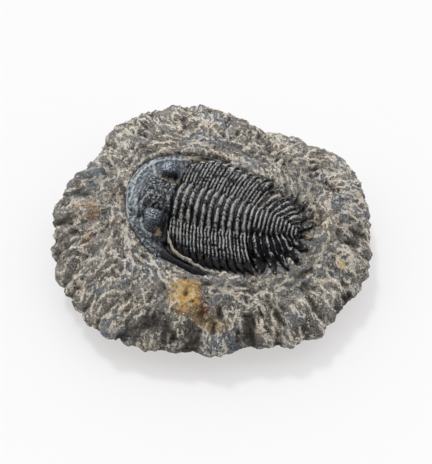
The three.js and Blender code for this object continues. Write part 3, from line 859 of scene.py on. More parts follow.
# (place on the midline, lean back outwards, depth) of the three side furrows of the glabella.
GLABELLA_FURROWS = [(6.6, -0.35, 0.7), (8.8, 0.0, 0.75), (10.8, 0.15, 0.85)]
OCCIPITAL_FURROW = 12.5
EYE_RIDGE = [(8.1, -1.8), (7.2, -2.8), (6.6, -4.7), (6.8, -6.6), (7.5, -8.6), (8.8, -10.3), (10.9, -11.2)]
FAR_RIDGE = [(4.2, 12.6), (5.2, 10.9), (6.2, 9.0), (7.2, 5.8)]
CHEEK_LINE = [(4.6, -3.4), (4.9, -5.0), (5.1, -6.4), (4.8, -7.6)]


def solid_plate(name, points, quads, corners, low, layers):
    """Closes a sheet of (u, v, h) points underneath, at height `low`, and places it in the stone."""
    faces = [quads, corners]
    used, renamed = np.unique(np.concatenate([f.ravel() for f in faces]), return_inverse=True)
    quads = renamed[: quads.size].reshape(-1, 4)
    corners = renamed[quads.size:].reshape(-1, 3)
    points, count = points[used], len(used)
    edges = np.vstack(
        [quads[:, [k, (k + 1) % 4]] for k in range(4)] + [corners[:, [k, (k + 1) % 3]] for k in range(3)]
    )
    lone = ~np.isin(edges[:, 0] * count + edges[:, 1], edges[:, 1] * count + edges[:, 0])
    a, b = edges[lone].T
    walls = np.stack([b, a, a + count, b + count], axis=-1)
    under = points * (1, 1, 0) + (0, 0, low)
    both = np.vstack([points, under])
    x, y = plan(both[:, 0], both[:, 1])
    top = quads.tolist() + corners.tolist()
    rest = walls.tolist() + (quads[:, ::-1] + count).tolist() + (corners[:, ::-1] + count).tolist()
    smooth = np.arange(len(top) + len(rest)) < len(top)
    doubled = {layer: np.tile(np.asarray(values)[used], 2) for layer, values in layers.items()}
    return make_piece(name, np.column_stack([x, y, DISH_FLOOR + both[:, 2]]), top + rest, doubled, smooth)


def head_relief(u, v, inside, front):
    """Height of the head, with `inside` the distance in from its outline and `front` the distance
    from its front edge."""
    forward = np.minimum(0, u - HEAD_MIDDLE[0]) / HEAD_RADII[0]
    out = np.hypot(forward, (v - HEAD_MIDDLE[1]) / HEAD_RADII[1])
    lip = smoothstep(1.04 - out, 0, 0.1)
    slope = smoothstep(0.79 - out, 0, 0.5)
    cheek = EDGE_HEIGHT + (BORDER_HEIGHT - EDGE_HEIGHT) * lip + (CHEEK_HEIGHT - BORDER_HEIGHT) * slope
    cheek += 0.3 * ridge((front - 0.5) / 0.3) - 0.35 * ridge((front - 3.3) / 0.45)
    rear_fade = smoothstep(np.abs(v), 4, 6.5) * (1 - smoothstep(np.abs(v), 9.0, 12.5))
    cheek -= 0.75 * ridge((u - joint_line(0, v) + 1.75) / 0.4) * rear_fade
    cheek += 0.25 * ridge((u - joint_line(0, v) + 0.8) / 0.5) * rear_fade
    crest, half = glabella_crest(u), glabella_half(u)
    across = np.clip(np.abs(v - GLABELLA_MIDDLE) / half, 0, 1)
    top = crest - (crest - cheek) * (1 - np.sqrt(1 - across**2.6))
    for at, lean, depth in GLABELLA_FURROWS:
        top -= depth * ridge((u - at - lean * np.abs(v)) / 0.34) * smoothstep(across, 0.22, 0.6)
    top -= 0.85 * ridge((u - OCCIPITAL_FURROW - 0.1 * (v / 4) ** 2) / 0.42)
    swell = smoothstep(u, 1.2, 2.4) * (across < 1)
    height = cheek + (top - cheek) * swell
    height -= 0.45 * ridge((np.abs(v - GLABELLA_MIDDLE) - half - 0.2) / 0.42) * smoothstep(u, 3.0, 5.0)
    for line, rise in ((EYE_RIDGE, 0.6), (FAR_RIDGE, 0.4), (CHEEK_LINE, 0.25)):
        height += rise * ridge(line_distance(u, v, smooth_line(line, 30)) / 0.4)
    blade = smoothstep(u, 11.5, 19.5) * smoothstep(np.abs(v), 10, 14)
    height = height * (1 - blade) + (0.6 + 1.7 * (1 - ridge(inside / 0.85))) * blade
    rounding = np.sqrt(1 - (1 - np.clip(inside / 0.55, 0, 1)) ** 2)
    return 0.25 + (height - 0.25) * rounding


head_edge = head_outline()
grid_u, grid_v = np.meshgrid(
    np.arange(-1.1, 31.5, HEAD_STEP), np.arange(-20.4, 19.9, HEAD_STEP), indexing="ij",
)
reach = outline_distance(grid_u, grid_v, head_edge)
slope_u, slope_v = np.gradient(reach, HEAD_STEP)
steep = np.maximum(np.hypot(slope_u, slope_v), 0.5)
onto = np.where(np.abs(reach) < SNAP, reach, 0) / steep**2
grid_u, grid_v = grid_u - onto * slope_u, grid_v - onto * slope_v
kept = reach < SNAP
inside = np.clip(-reach, 0, None)
flat_points = np.stack([grid_u, grid_v], axis=-1)
rough = smoothstep(glabella_half(grid_u) + 1.2 - np.abs(grid_v), 0, 1.6) * smoothstep(grid_u, 4.6, 7)
rough = np.maximum(rough, 0.2) * (grid_u < joint_line(0, grid_v))
knobbly = 0.5 * waves(flat_points, 1.3, 21) + 0.5 * waves(flat_points, 0.75, 22)
from_front = line_distance(grid_u, grid_v, front_line)
head_height = head_relief(grid_u, grid_v, inside, from_front)
head_height += (0.04 + 0.2 * rough) * knobbly * smoothstep(inside, 0, 0.6)

# The near side of the head is painted darker, with fainter pale lines there: painted shade.
near_side = smoothstep(-grid_v, 6, 12)
band = smoothstep(3.9 + 0.3 * waves(flat_points, 2.5, 23) - from_front, 0, 1.6) * (grid_u < 15)
pale = 0.42 + 0.14 * waves(flat_points, 1.6, 24) + 0.16 * smoothstep(6.5 - grid_u, 0, 2) + 0.1 * band
pale += 0.45 * ridge((from_front - 0.3) / 0.25) * (1 - 0.6 * near_side)
pale += 0.2 * ridge((from_front - 3.0) / 0.3) * (1 - 0.9 * near_side)
pale += 0.55 * ridge((from_front - 1.7) / 0.28) * smoothstep(grid_v, -5, 0)
pale -= 0.2 * ridge((from_front - 2.4) / 0.4) * smoothstep(grid_v, -5, 0)
cheek = smoothstep(from_front, 3.0, 4.4) * smoothstep(-grid_v, 0.5, 2.5)
pale -= 0.28 * np.maximum(cheek, 0.6 * rough) + 0.1 * near_side
for line, strength, wide in ((EYE_RIDGE, 1.0, 0.42), (FAR_RIDGE, 0.8, 0.42), (CHEEK_LINE, 0.6, 0.5)):
    broken = 0.8 + 0.25 * waves(flat_points, 0.9, 33)
    pale += strength * broken * ridge(line_distance(grid_u, grid_v, smooth_line(line, 30)) / wide)
pale += rough * (0.42 * waves(flat_points, 0.75, 25) + 0.34 * waves(flat_points, 1.7, 32) - 0.04)
pale -= 0.16 * near_side * smoothstep(from_front, 1.0, 3.0)
# Painted shade: the near genal spine is painted dark all over.
pale -= 0.62 * smoothstep(grid_u, 13, 18) * smoothstep(-grid_v, 8, 12)
past_glabella = np.abs(grid_v - GLABELLA_MIDDLE) - glabella_half(grid_u)
pale -= 0.3 * ridge((past_glabella - 0.2) / 0.6) * smoothstep(grid_u, 3, 5)
dust = (0.75 + 0.25 * waves(flat_points, 0.9, 34)) * ridge((past_glabella - 0.6) / 0.9)
dust *= smoothstep(grid_v, 1, 4) * smoothstep(grid_u, 4.5, 7)
dust += 0.35 * ridge(line_distance(grid_u, grid_v, smooth_line(FAR_RIDGE, 30)) / 0.5)
dust += 0.65 * smoothstep(waves(flat_points, 1.1, 27), 0.6, 1.5) * rough
dust += 0.9 * ridge(np.hypot(grid_u - 12.9, grid_v + 10.3) / 1.1)
dust += 0.5 * ridge((grid_u - OCCIPITAL_FURROW) / 0.5) * smoothstep(waves(flat_points, 1.4, 28), 0, 1)
far_spine = smoothstep(grid_v, 12.5, 16) * smoothstep(grid_u, 9, 15)
dust = np.maximum(dust, far_spine * (0.62 + 0.25 * waves(flat_points, 1.3, 29)))
index = np.arange(grid_u.size).reshape(grid_u.shape)
cell = grid_quads(index)
held = kept.ravel()[cell]
whole = cell[held.all(axis=1)]
part = held.sum(axis=1) == 3
thirds = np.array([
    np.roll(four, -int(np.flatnonzero(~h)[0]))[1:] for four, h in zip(cell[part], held[part])
])
head_points = np.column_stack([grid_u.ravel(), grid_v.ravel(), head_height.ravel()])
cephalon = solid_plate("cephalon_shield", head_points, whole, thirds, SUNK, {
    "wear_and_painted_light": np.clip(pale, 0, 1).ravel(), "dust": np.clip(dust, 0, 1).ravel(),
    "granule": (rough * (inside > 0.6)).ravel(),
    "speckle": np.maximum(np.maximum(1.5 * rough, 0.9 * near_side), 0.3).ravel(),
})


def cuticle(name, dark, mid, pale, sheen, shine=0.4):
    """Mineralised cuticle: a jet black, glassy skin of calcite. High parts are abraded to a dull
    pale grey, and tan stone powder lies in the seams. The same pale layer also carries painted
    highlights and painted shade. `sheen` is the roughness of its unworn skin and `shine` the
    strength of its reflections."""
    material, tree, _, fields = start_material(name, ("dust", "speckle", "wear_and_painted_light"), {
        "fine": (0.42, 3, 0.75, 0), "cloudy": (2.2, 3, 0.65, 0), "powdery": (0.7, 3, 0.8, 0),
        "pits": (0.34, 3, 0.7, 0),
    })
    fine, powdery = (
        node(tree, "ShaderNodeMapRange", {
            "Value": fields[label], "From Min": low, "From Max": 1 - low, "To Min": -reach, "To Max": reach,
        }, interpolation_type="SMOOTHSTEP")
        for label, low, reach in (("fine", 0.36, 1), ("powdery", 0.3, 0.3))
    )
    reach = node(tree, "ShaderNodeMath", {0: fields["speckle"], 1: 0.22, 2: 0.14}, operation="MULTIPLY_ADD")
    spread = node(tree, "ShaderNodeMath", {0: fine, 1: reach}, operation="MULTIPLY")
    for label, scatter in (("wear_and_painted_light", spread), ("dust", powdery)):
        fields[label] = node(tree, "ShaderNodeMath", {0: fields[label], 1: scatter}, operation="ADD")
    colour = coat(tree, fields, linear(dark), [
        ("#15161b", ("cloudy", 0.42, 0.62, 0, 1)),
        (mid, ("wear_and_painted_light", 0.12, 0.5, 0, 1)),
        (pale, ("wear_and_painted_light", 0.55, 1.05, 0, 1)),
        ("#a8977d", ("dust", 0.35, 0.8, 0, 0.9)),
    ])
    worn, dusty = (
        node(tree, "ShaderNodeMapRange", {
            "Value": fields[label], "From Min": low, "From Max": high,
        }, interpolation_type="SMOOTHSTEP")
        for label, low, high in (("wear_and_painted_light", 0.2, 0.9), ("dust", 0.3, 0.7))
    )
    dull = node(tree, "ShaderNodeMath", {0: worn, 1: dusty}, operation="MAXIMUM")
    roughness = node(tree, "ShaderNodeMapRange", {
        "Value": dull, "From Min": 0, "From Max": 1, "To Min": sheen, "To Max": 0.5,
    }, interpolation_type="SMOOTHSTEP")
    bumps = node(tree, "ShaderNodeBump", {"Height": fields["pits"], "Strength": 0.9, "Distance": 0.2 * MM})
    surface = node(tree, "ShaderNodeBsdfPrincipled", {
        "Base Color": colour, "Roughness": roughness, "Normal": bumps, "IOR": 1.5,
        "Specular IOR Level": shine,
    })
    node(tree, "ShaderNodeOutputMaterial", {"Surface": surface})
    return material


def granule_tree():
    """Scatters low rounded granules over the part of a plate that its `granule` layer marks."""
    tree = new_tree("cuticle granules", {
        "Spacing": "Float", "Radius": "Float", "Seed": "Int", "Material": "Material",
    })
    given = tree.nodes.new("NodeGroupInput").outputs
    marked = node(tree, "GeometryNodeInputNamedAttribute", {"Name": "granule"}, data_type="FLOAT")
    points = node(tree, "GeometryNodeDistributePointsOnFaces", {
        "Mesh": given["Geometry"], "Distance Min": given["Spacing"], "Density Max": 4e6,
        "Density Factor": marked, "Seed": given["Seed"],
    }, distribute_method="POISSON")
    bead = node(tree, "GeometryNodeMeshIcoSphere", {"Radius": given["Radius"], "Subdivisions": 2})
    bead = node(tree, "GeometryNodeSetShadeSmooth", {0: bead})
    size = node(tree, "FunctionNodeRandomValue", {
        "Min": 0.55, "Max": 1.15, "Seed": given["Seed"],
    }, data_type="FLOAT")
    size = node(tree, "ShaderNodeVectorMath", {0: (1.0, 1.0, 0.7), "Scale": size}, operation="SCALE")
    beads = node(tree, "GeometryNodeInstanceOnPoints", {
        "Points": points, "Instance": bead, "Rotation": points.outputs["Rotation"], "Scale": size,
    })
    joined = node(tree, "GeometryNodeJoinGeometry", {0: beads})
    tree.links.new(given["Geometry"], joined.inputs[0])
    joined = node(tree, "GeometryNodeRealizeInstances", {0: joined})
    dressed = node(tree, "GeometryNodeSetMaterial", {"Geometry": joined, "Material": given["Material"]})
    node(tree, "NodeGroupOutput", {0: dressed})
    return tree


head_skin = cuticle("bleached head cuticle", "#08090d", "#5b6369", "#bcc4c8", 0.28)
apply_tree(cephalon, granule_tree(), {
    "Spacing": 0.85 * MM, "Radius": 0.25 * MM, "Seed": 3, "Material": head_skin,
})
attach(cephalon, "root")
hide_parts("cephalon")

# ---------------------------------------------------------------------------------------------
# The eyes: two tall kidney-shaped turrets of the same cuticle, grown up from the cheeks. Each has
# a smooth lid on top, and its outer wall is a sheet of separate calcite lenses in crossed rows.
# ---------------------------------------------------------------------------------------------
# Each eye's place (u, v), half length and half width.
EYES = {"near": (10.6, -7.9, 2.25, 2.15), "far": (11.4, 8.8, 2.75, 2.0)}
EYE_BEND = 0.9
EYE_SIDES = 72
EYE_RINGS = 30
eye_share = profile([
    (0, 1.2), (0.25, 1.02), (0.5, 0.98), (0.72, 1.06), (0.84, 0.98), (0.94, 0.7), (1, 0.0),
])
eye_height = profile([
    (0, 2.6), (0.25, 4.4), (0.5, 5.6), (0.72, 6.7), (0.84, 7.25), (0.94, 7.6), (1, 7.7),
])


def eye_mesh(name, u, v, long, wide):
    """One eye, as rings from its foot to the middle of its lid, with the lens places marked."""
    side = math.copysign(1, v)
    stations = np.linspace(0, 1, EYE_RINGS)[:-1]
    turn = 2 * np.pi * np.arange(EYE_SIDES) / EYE_SIDES
    share, height = eye_share(stations)[:, None], eye_height(stations)[:, None]
    along = share * long * np.sin(turn)
    across = share * wide * np.cos(turn) - EYE_BEND * np.sin(turn) ** 2 * share
    points = np.stack([u + along, v + side * across, height + 0 * along], axis=-1).reshape(-1, 3)
    points = np.vstack([points, [(u, v, float(eye_height(1)))], [(u, v, 1.5)]])
    points[:, 2] += 0.04 * waves(points, 1.2, 31)
    rows, columns = np.meshgrid(np.arange(EYE_RINGS - 1), np.arange(EYE_SIDES), indexing="ij")
    index = rows * EYE_SIDES + columns
    after = np.roll(index, -1, axis=1)
    quads = np.stack([index[:-1], after[:-1], after[1:], index[1:]], axis=-1).reshape(-1, 4)
    lid = [(int(a), int(b), len(points) - 2) for a, b in zip(index[-1], after[-1])]
    foot = [(int(b), int(a), len(points) - 1) for a, b in zip(index[0], after[0])]
    faces = quads.tolist() + lid + foot
    if side < 0:
        faces = [face[::-1] for face in faces]
    facing = np.cos(turn)[None, :] + 0 * rows
    crossed = (rows % 3 == 0) & ((columns + (rows // 3 % 2) * 2) % 4 == 0)
    lens = crossed & (facing > -0.5) & (stations[:, None] > 0.22) & (stations[:, None] < 0.9)
    # Painted light and shade: each eye is paler towards its lid and its front and darker at its rear, most
    # on the far eye.
    bleached = 0.36 * (0.3 + 0.7 * (side > 0))
    wear_and_painted_light = 0.3 + 0.2 * smoothstep(stations, 0.8, 1)[:, None] - bleached * np.sin(turn)[None, :]
    dust = 0.55 * smoothstep(0.3 - stations, 0, 0.3)[:, None] + 0 * facing
    x, y = plan(points[:, 0], points[:, 1])
    return make_piece(name, np.column_stack([x, y, DISH_FLOOR + points[:, 2]]), faces, {
        "lens": np.concatenate([lens.ravel(), [0, 0]]),
        "wear_and_painted_light": np.concatenate([wear_and_painted_light.ravel(), [0.4, 0]]), "speckle": np.full(len(points), 1.8),
        "dust": np.concatenate([dust.ravel(), [0, 0]]),
    })


def lens_tree():
    """Sets a lens, a flattened bead, on each marked point of an eye, facing straight out of it."""
    tree = new_tree("rows of lenses", {"Lens Radius": "Float", "Skin": "Material", "Lens": "Material"})
    given = tree.nodes.new("NodeGroupInput").outputs
    marked = node(tree, "GeometryNodeInputNamedAttribute", {"Name": "lens"}, data_type="FLOAT")
    upright = node(tree, "FunctionNodeAlignRotationToVector", {
        "Vector": node(tree, "GeometryNodeInputNormal"),
    }, axis="Z")
    bead = node(tree, "GeometryNodeMeshIcoSphere", {"Radius": given["Lens Radius"], "Subdivisions": 2})
    bead = node(tree, "GeometryNodeSetShadeSmooth", {0: bead})
    chosen = node(tree, "ShaderNodeMath", {0: marked, 1: 0.5}, operation="GREATER_THAN")
    lenses = node(tree, "GeometryNodeInstanceOnPoints", {
        "Points": given["Geometry"], "Selection": chosen, "Instance": bead, "Rotation": upright,
        "Scale": (1.0, 1.0, 0.7),
    })
    lenses = node(tree, "GeometryNodeRealizeInstances", {0: lenses})
    lenses = node(tree, "GeometryNodeSetMaterial", {"Geometry": lenses, "Material": given["Lens"]})
    skin = node(tree, "GeometryNodeSetMaterial", {"Geometry": given["Geometry"], "Material": given["Skin"]})
    joined = node(tree, "GeometryNodeJoinGeometry", {0: lenses})
    tree.links.new(skin.outputs[0], joined.inputs[0])
    node(tree, "NodeGroupOutput", {0: joined})
    return tree


def lens_calcite():
    """Eye lens calcite: clear stone over black, so it reads as wet slate blue with a hard glint."""
    material, tree, _, fields = start_material("eye lens calcite", (), {"patchy": (0.8, 2, 0.5, 0)})
    share = node(tree, "ShaderNodeMapRange", {
        "Value": fields["patchy"], "From Min": 0.38, "From Max": 0.62,
    })
    colour = node(tree, "ShaderNodeMix", {
        "Factor": share, "A": linear("#0e1116"), "B": linear("#667180"),
    }, data_type="RGBA")
    surface = node(tree, "ShaderNodeBsdfPrincipled", {
        "Base Color": colour, "Roughness": 0.22, "IOR": 1.6, "Coat Weight": 0.5, "Coat Roughness": 0.06,
    })
    node(tree, "ShaderNodeOutputMaterial", {"Surface": surface})
    return material


eye_skin = cuticle("eye turret cuticle", "#040508", "#464f5d", "#b4bcc8", 0.14)
lenses = lens_calcite()
rows_of_lenses = lens_tree()
for which, (eye_u, eye_v, eye_long, eye_wide) in EYES.items():
    eye = eye_mesh(f"{which}_eye", eye_u, eye_v, eye_long, eye_wide)
    apply_tree(eye, rows_of_lenses, {"Lens Radius": 0.26 * MM, "Skin": eye_skin, "Lens": lenses})
    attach(eye, "root")

# ---------------------------------------------------------------------------------------------
# The thorax: eleven plates of cuticle, hinged one behind the other in life. Each is an arched ring
# over the axis, with a pleura on either side that bears two narrow bands and ends in a point. The
# bands are rubbed pale, and the furrows between them are black and glossy.
# ---------------------------------------------------------------------------------------------
crest_height = profile([(0, 1.6), (14, 7.2), (23, 7.4), (31, 7.0), (38, 6.1), (46, 4.3), (53, 2.0)])
furrow_height = profile([(0, 1.6), (14, 4.5), (23, 4.5), (31, 4.1), (38, 3.4), (46, 2.3), (53, 1.3)])
axis_half = profile([(14, 5.8), (24, 5.8), (32, 5.2), (38, 4.3), (46, 2.5), (53, 1.0)])
SEGMENT_ROWS = 25
SEGMENT_COLUMNS = 170
# Where an axial ring's crest lies between its two joints, and how wide the ring is, both as shares.
RING_CREST = 0.62
RING_HALF = 0.27
BAND_HEIGHT = 0.8
RING_HEIGHT = 1.4


def back_height(axial, v):
    """Height of the back before its ribs, for a point that belongs to `axial` on the axis."""
    axis, crest, furrow = axis_half(axial), crest_height(axial), furrow_height(axial)
    margin = half_width(axial + sweep_back(axial, v), v)
    arch = furrow + (crest - furrow) * np.cos(np.pi / 2 * np.clip(np.abs(v) / axis, 0, 1)) ** 0.8
    share = np.clip((np.abs(v) - axis) / (margin - axis), 0, 1)
    edge = EDGE_HEIGHT + far_rise(v)
    side = edge + (furrow - edge) * (1 - share**2) ** 0.75
    return np.where(np.abs(v) < axis, arch, side)


def segment_plate(number):
    """One thoracic segment as a closed plate, front joint to rear joint."""
    middle = HEAD_LENGTH + (number + 0.5) * SEGMENT_PITCH
    near = -float(near_half(middle + near_sweep(middle)))
    far = float(far_half(middle + far_sweep(middle)))
    v = near + (far - near) * np.linspace(0, 1, SEGMENT_COLUMNS)[None, :]
    a = np.linspace(0, 1, SEGMENT_ROWS)[:, None]
    share = np.abs(v) / np.where(v > 0, far, -near)
    flat = np.stack([v + 0 * a, number * SEGMENT_PITCH + 0 * v + 0 * a], axis=-1)
    drift = 0.03 * waves(flat, 4.0, 41) + 0.016 * waves(flat, 1.6, 42)
    tip = smoothstep(share, 0.93, 1.0)
    front = joint_line(number, v) + 0.03 + 0.85 * tip * SEGMENT_PITCH
    rear = joint_line(number + 1, v) - 0.03
    u = front + (rear - front) * a
    axial = HEAD_LENGTH + (number + a) * SEGMENT_PITCH
    axis = axis_half(axial)
    on_pleura = smoothstep(np.abs(v), axis * 0.86, axis * 1.22)
    phase = a + drift
    ring = ridge((phase - RING_CREST) / RING_HALF) ** 1.1
    band = np.clip(0.5 - 0.5 * np.cos(4 * np.pi * phase), 0, 1) ** 1.25
    band *= 1 + 0.2 * np.where(phase > 0.5, 1, -1)
    single = np.sin(np.pi * np.clip(a, 0, 1)) ** 0.8
    to_tip = smoothstep(share, 0.8, 0.95)
    band = band * (1 - to_tip) + single * to_tip
    uneven = 1 + 0.16 * waves(flat, 2.4, 43) + 0.1 * waves(flat, 0.9, 44)
    lift = (ring * RING_HEIGHT - 1.0) * (1 - on_pleura) + (band * BAND_HEIGHT - 0.5) * on_pleura * uneven
    lift -= 0.35 * ridge((np.abs(v) - axis * 1.04) / 0.6)
    lift *= 1 - 0.5 * smoothstep(share, 0.85, 1)
    deep = np.stack([u, v + 0 * a, 0 * u], axis=-1)
    height = back_height(axial, v) + lift + 0.035 * waves(deep, 0.8, 45)
    crest = ring * (1 - on_pleura) + band * on_pleura
    rubbed = 0.87 + 0.22 * waves(flat, 3.1, 46) + 0.3 * waves(flat, 0.9, 47)
    # The pleural tips are kept black, fully on the near side and about a third as much on the far side:
    # partly their unworn skin and partly painted shade on the near side.
    dark_tip = smoothstep(share, 0.7, 0.93) * np.where(v < 0, 1.0, 0.35)
    wear_and_painted_light = 0.52 * smoothstep(crest, 0.05, 0.4) + 0.58 * smoothstep(crest, 0.5, 0.95)
    wear_and_painted_light *= rubbed * (1 - dark_tip)
    dust = 0.5 * smoothstep(waves(flat, 2.0, 48), 0.9, 1.8) * smoothstep(crest, 0.6, 0.1)
    dust = dust + 0.35 * (number < 2) * smoothstep(waves(flat, 1.2, 49), 0.3, 1.3)
    points = np.stack([u, v + 0 * a, np.maximum(height, 0.15)], axis=-1).reshape(-1, 3)
    grid = np.arange(SEGMENT_ROWS * SEGMENT_COLUMNS).reshape(SEGMENT_ROWS, SEGMENT_COLUMNS)
    # On the near side the unworn skin gets almost no speckle, so it stays black: painted shade.
    return solid_plate(f"tergite_{number + 1:02d}", points, grid_quads(grid), np.zeros((0, 3), int), SUNK, {
        "wear_and_painted_light": np.clip(wear_and_painted_light, 0, 1).ravel(), "dust": np.clip(dust + 0 * u, 0, 1).ravel(),
        "speckle": (1.5 - 1.8 * (1 - smoothstep(wear_and_painted_light, 0.08, 0.4)) * smoothstep(-v, -2, 4)).ravel(),
    })


thorax_skin = cuticle("rubbed thorax cuticle", "#040406", "#6a6c70", "#c6c5bf", 0.2)
for number in range(SEGMENTS):
    plate = segment_plate(number)
    plate.data.materials.append(thorax_skin)
    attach(plate, "root")
    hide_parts(f"thoracic_segment_{number + 1:02d}")

# ---------------------------------------------------------------------------------------------
# The pygidium: the tail shield, one plate of fused segments. Its axis tapers in narrowing rings,
# five ribs fan back from each side of it, each with two bands, and every rib runs out into a
# short flat spine, with one more behind the axis. It kept most of its jet black polish.
# ---------------------------------------------------------------------------------------------
TAIL_ROWS = 150
SIDE_COLUMNS = 70
AXIS_COLUMNS = 41
RIBS = SPINE_PAIRS + 0.5
AXIS_END = 52.8
TAIL_RINGS = 14
# Painted glints: small white spots on and beside the end of the axis that stand in for highlights.
PAINTED_GLINTS = [(51, -2.9), (52.4, -1.2), (47.6, -3.1), (49.6, -5.2), (45.2, -8.4)]


def tail_plate():
    """The tail as a closed plate: its ribs fan out from the axis to the spiny margin."""
    rib = np.linspace(0, RIBS, TAIL_ROWS)[:, None]
    turn = np.pi / 2 * rib / RIBS
    axial = THORAX_END + 0.1 + (AXIS_END - THORAX_END - 0.1) * (rib / RIBS) ** 0.92
    half = np.clip(axis_half(axial), 0, None) * np.sqrt(np.clip(1 - (rib / RIBS) ** 8, 0, 1))
    out = np.linspace(1, 0, SIDE_COLUMNS)[None, :] ** 0.9
    sides = []
    for side, facing in ((-1, turn), (1, np.pi - turn)):
        edge_u, edge_v = tail_margin(facing)
        start_v = side * half
        lean = 0.15 + 0.55 * smoothstep(rib, 0.3, 4.0)
        bow_u = axial + lean * (edge_u - axial)
        bow_v = start_v + 0.55 * (edge_v - start_v)
        u = (1 - out) ** 2 * axial + 2 * out * (1 - out) * bow_u + out**2 * edge_u
        v = (1 - out) ** 2 * start_v + 2 * out * (1 - out) * bow_v + out**2 * edge_v
        u_joint = joint_line(SEGMENTS, v) + 0.05
        follow = 1 - smoothstep(rib, 0, 0.8)
        u = u * (1 - follow) + np.minimum(u, u_joint + rib * 1.9) * follow
        sides.append((u, v, out + 0 * rib))
    x = np.linspace(-1, 1, AXIS_COLUMNS)[None, 1:-1]
    bulge = 1.1 * (rib / RIBS) ** 2
    axis_u = axial - bulge * (1 - x**2)
    axis_v = half * x
    u = np.hstack([sides[0][0], axis_u, sides[1][0][:, ::-1]])
    v = np.hstack([sides[0][1], axis_v, sides[1][1][:, ::-1]])
    t = np.hstack([sides[0][2], 0 * axis_v, sides[1][2][:, ::-1]])
    on_axis = np.hstack([0 * sides[0][0], 1 - np.abs(x) ** 6 + 0 * rib, 0 * sides[1][0]])
    across = np.hstack([np.ones_like(sides[0][0]), np.abs(x) + 0 * rib, np.ones_like(sides[1][0])])

    edge = 1 - SPINE_DEPTH
    far_back = np.maximum(0, u - TAIL_MIDDLE) / (TAIL_REACH * edge)
    spread = np.minimum(1, np.hypot(far_back, v / (TAIL_HALF_WIDTH * edge)))
    fall = (1 - spread**2.4) ** 0.7
    place_on = np.maximum(THORAX_END, np.minimum(u, AXIS_END))
    lift = (crest_height(place_on) - furrow_height(place_on)) * np.cos(np.pi / 2 * across) ** 0.8
    edge_height = EDGE_HEIGHT + far_rise(v)
    base = edge_height + (float(furrow_height(THORAX_END)) - edge_height) * fall
    base += lift * np.minimum(1, 3 * fall) * (across < 1)

    flat = np.stack([u, v, 0 * u], axis=-1)
    drift = 0.03 * waves(flat, 4, 51)
    phase = rib + drift
    two = np.clip(0.5 - 0.5 * np.cos(4 * np.pi * phase), 0, 1) ** 1.2
    one = np.clip(0.5 - 0.5 * np.cos(2 * np.pi * rib), 0, 1) ** 0.5 + 0 * u
    to_tip = smoothstep(t, 0.8, 0.93)
    ribbed = two * (1 - to_tip) + one * to_tip
    rings_at = TAIL_RINGS * ((axis_u - THORAX_END) / (AXIS_END - THORAX_END)) ** 1.12
    ringed = np.clip(0.5 - 0.5 * np.cos(2 * np.pi * rings_at), 0, 1) ** 1.1
    ringed = np.hstack([0 * sides[0][0], ringed, 0 * sides[1][0]])
    size = 1.15 - 0.11 * rib
    carved = (ribbed * size - 0.55 * size) * (1 - on_axis) + (ringed - 0.5) * on_axis
    carved -= 0.3 * ridge((t - 0.04) / 0.06) * (1 - on_axis) * (across >= 1)
    tall = base + carved + 0.03 * waves(flat, 0.9, 52)
    spine = smoothstep(spread, 0.93, 1.0)
    tall = tall * (1 - spine) + (0.2 + far_rise(v) + 1.4 * one**2 + 0.12 * waves(flat, 1.0, 58)) * spine
    crest = ribbed * (1 - on_axis) + ringed * on_axis
    rubbed = 0.92 + 0.22 * waves(flat, 2.8, 53) + 0.22 * waves(flat, 0.9, 54)
    far = smoothstep(v, -3, 6)
    wear_and_painted_light = (0.34 * smoothstep(crest, 0.08, 0.5) + 0.62 * smoothstep(crest, 0.6, 1.0)) * rubbed
    wear_and_painted_light += 0.12 * on_axis
    inner = smoothstep(0.6 - t, 0, 0.4)
    # The near side, away from the axis, is painted almost black: partly its unworn polish and partly
    # painted shade.
    wear_and_painted_light *= (0.08 + 0.92 * np.maximum(np.maximum(far, on_axis), 0.6 * inner)) * (1 - 0.4 * spine)
    # Fine pale lines run along the crests of the ribs, partly rubbed wear and partly painted highlight, and
    # painted highlights run down the keels of the spines.
    hairline = smoothstep(crest, 0.84, 1.0) * smoothstep(waves(flat, 1.6, 56), -0.9, 0.9)
    wear_and_painted_light = np.maximum(wear_and_painted_light, 0.5 * hairline * (1 - spine))
    painted_keel_glint = smoothstep(one, 0.92, 1.0) * spine * smoothstep(waves(flat, 1.4, 57), -0.4, 0.8)
    wear_and_painted_light = np.maximum(wear_and_painted_light, 0.6 * painted_keel_glint)
    # Painted highlights: white spots laid over the skin at the listed places.
    for at_u, at_v in PAINTED_GLINTS:
        wear_and_painted_light += 1.4 * ridge(np.hypot(u - at_u, 1.8 * (v - at_v)) / 0.55)
    dust = 0.6 * smoothstep(waves(flat, 2.0, 55), 0.5, 1.5) * far * (1 - on_axis)
    dust += 0.95 * ridge(np.hypot(u - 54.1, v + 0.2) / 1.5)

    index = np.arange(u.size).reshape(u.shape)
    middle = u.shape[1] // 2
    index[-1, middle + 1:] = index[-1, :middle][::-1]
    points = np.stack([u, v, np.maximum(tall, 0.12)], axis=-1).reshape(-1, 3)
    # On the near side the unworn skin gets almost no speckle, so it stays black: painted shade.
    return solid_plate("tail_shield", points, grid_quads(index), np.zeros((0, 3), int), SUNK, {
        "wear_and_painted_light": np.clip(wear_and_painted_light, 0, 1).ravel(), "dust": np.clip(dust, 0, 1).ravel(),
        "speckle": (1.5 - 1.85 * (1 - smoothstep(wear_and_painted_light, 0.1, 0.4)) * (1 - far)).ravel(),
    })


tail = tail_plate()
tail.data.materials.append(cuticle("jet tail cuticle", "#020203", "#606265", "#cac9c3", 0.13, 0.28))
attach(tail, "root")
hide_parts("pygidium")

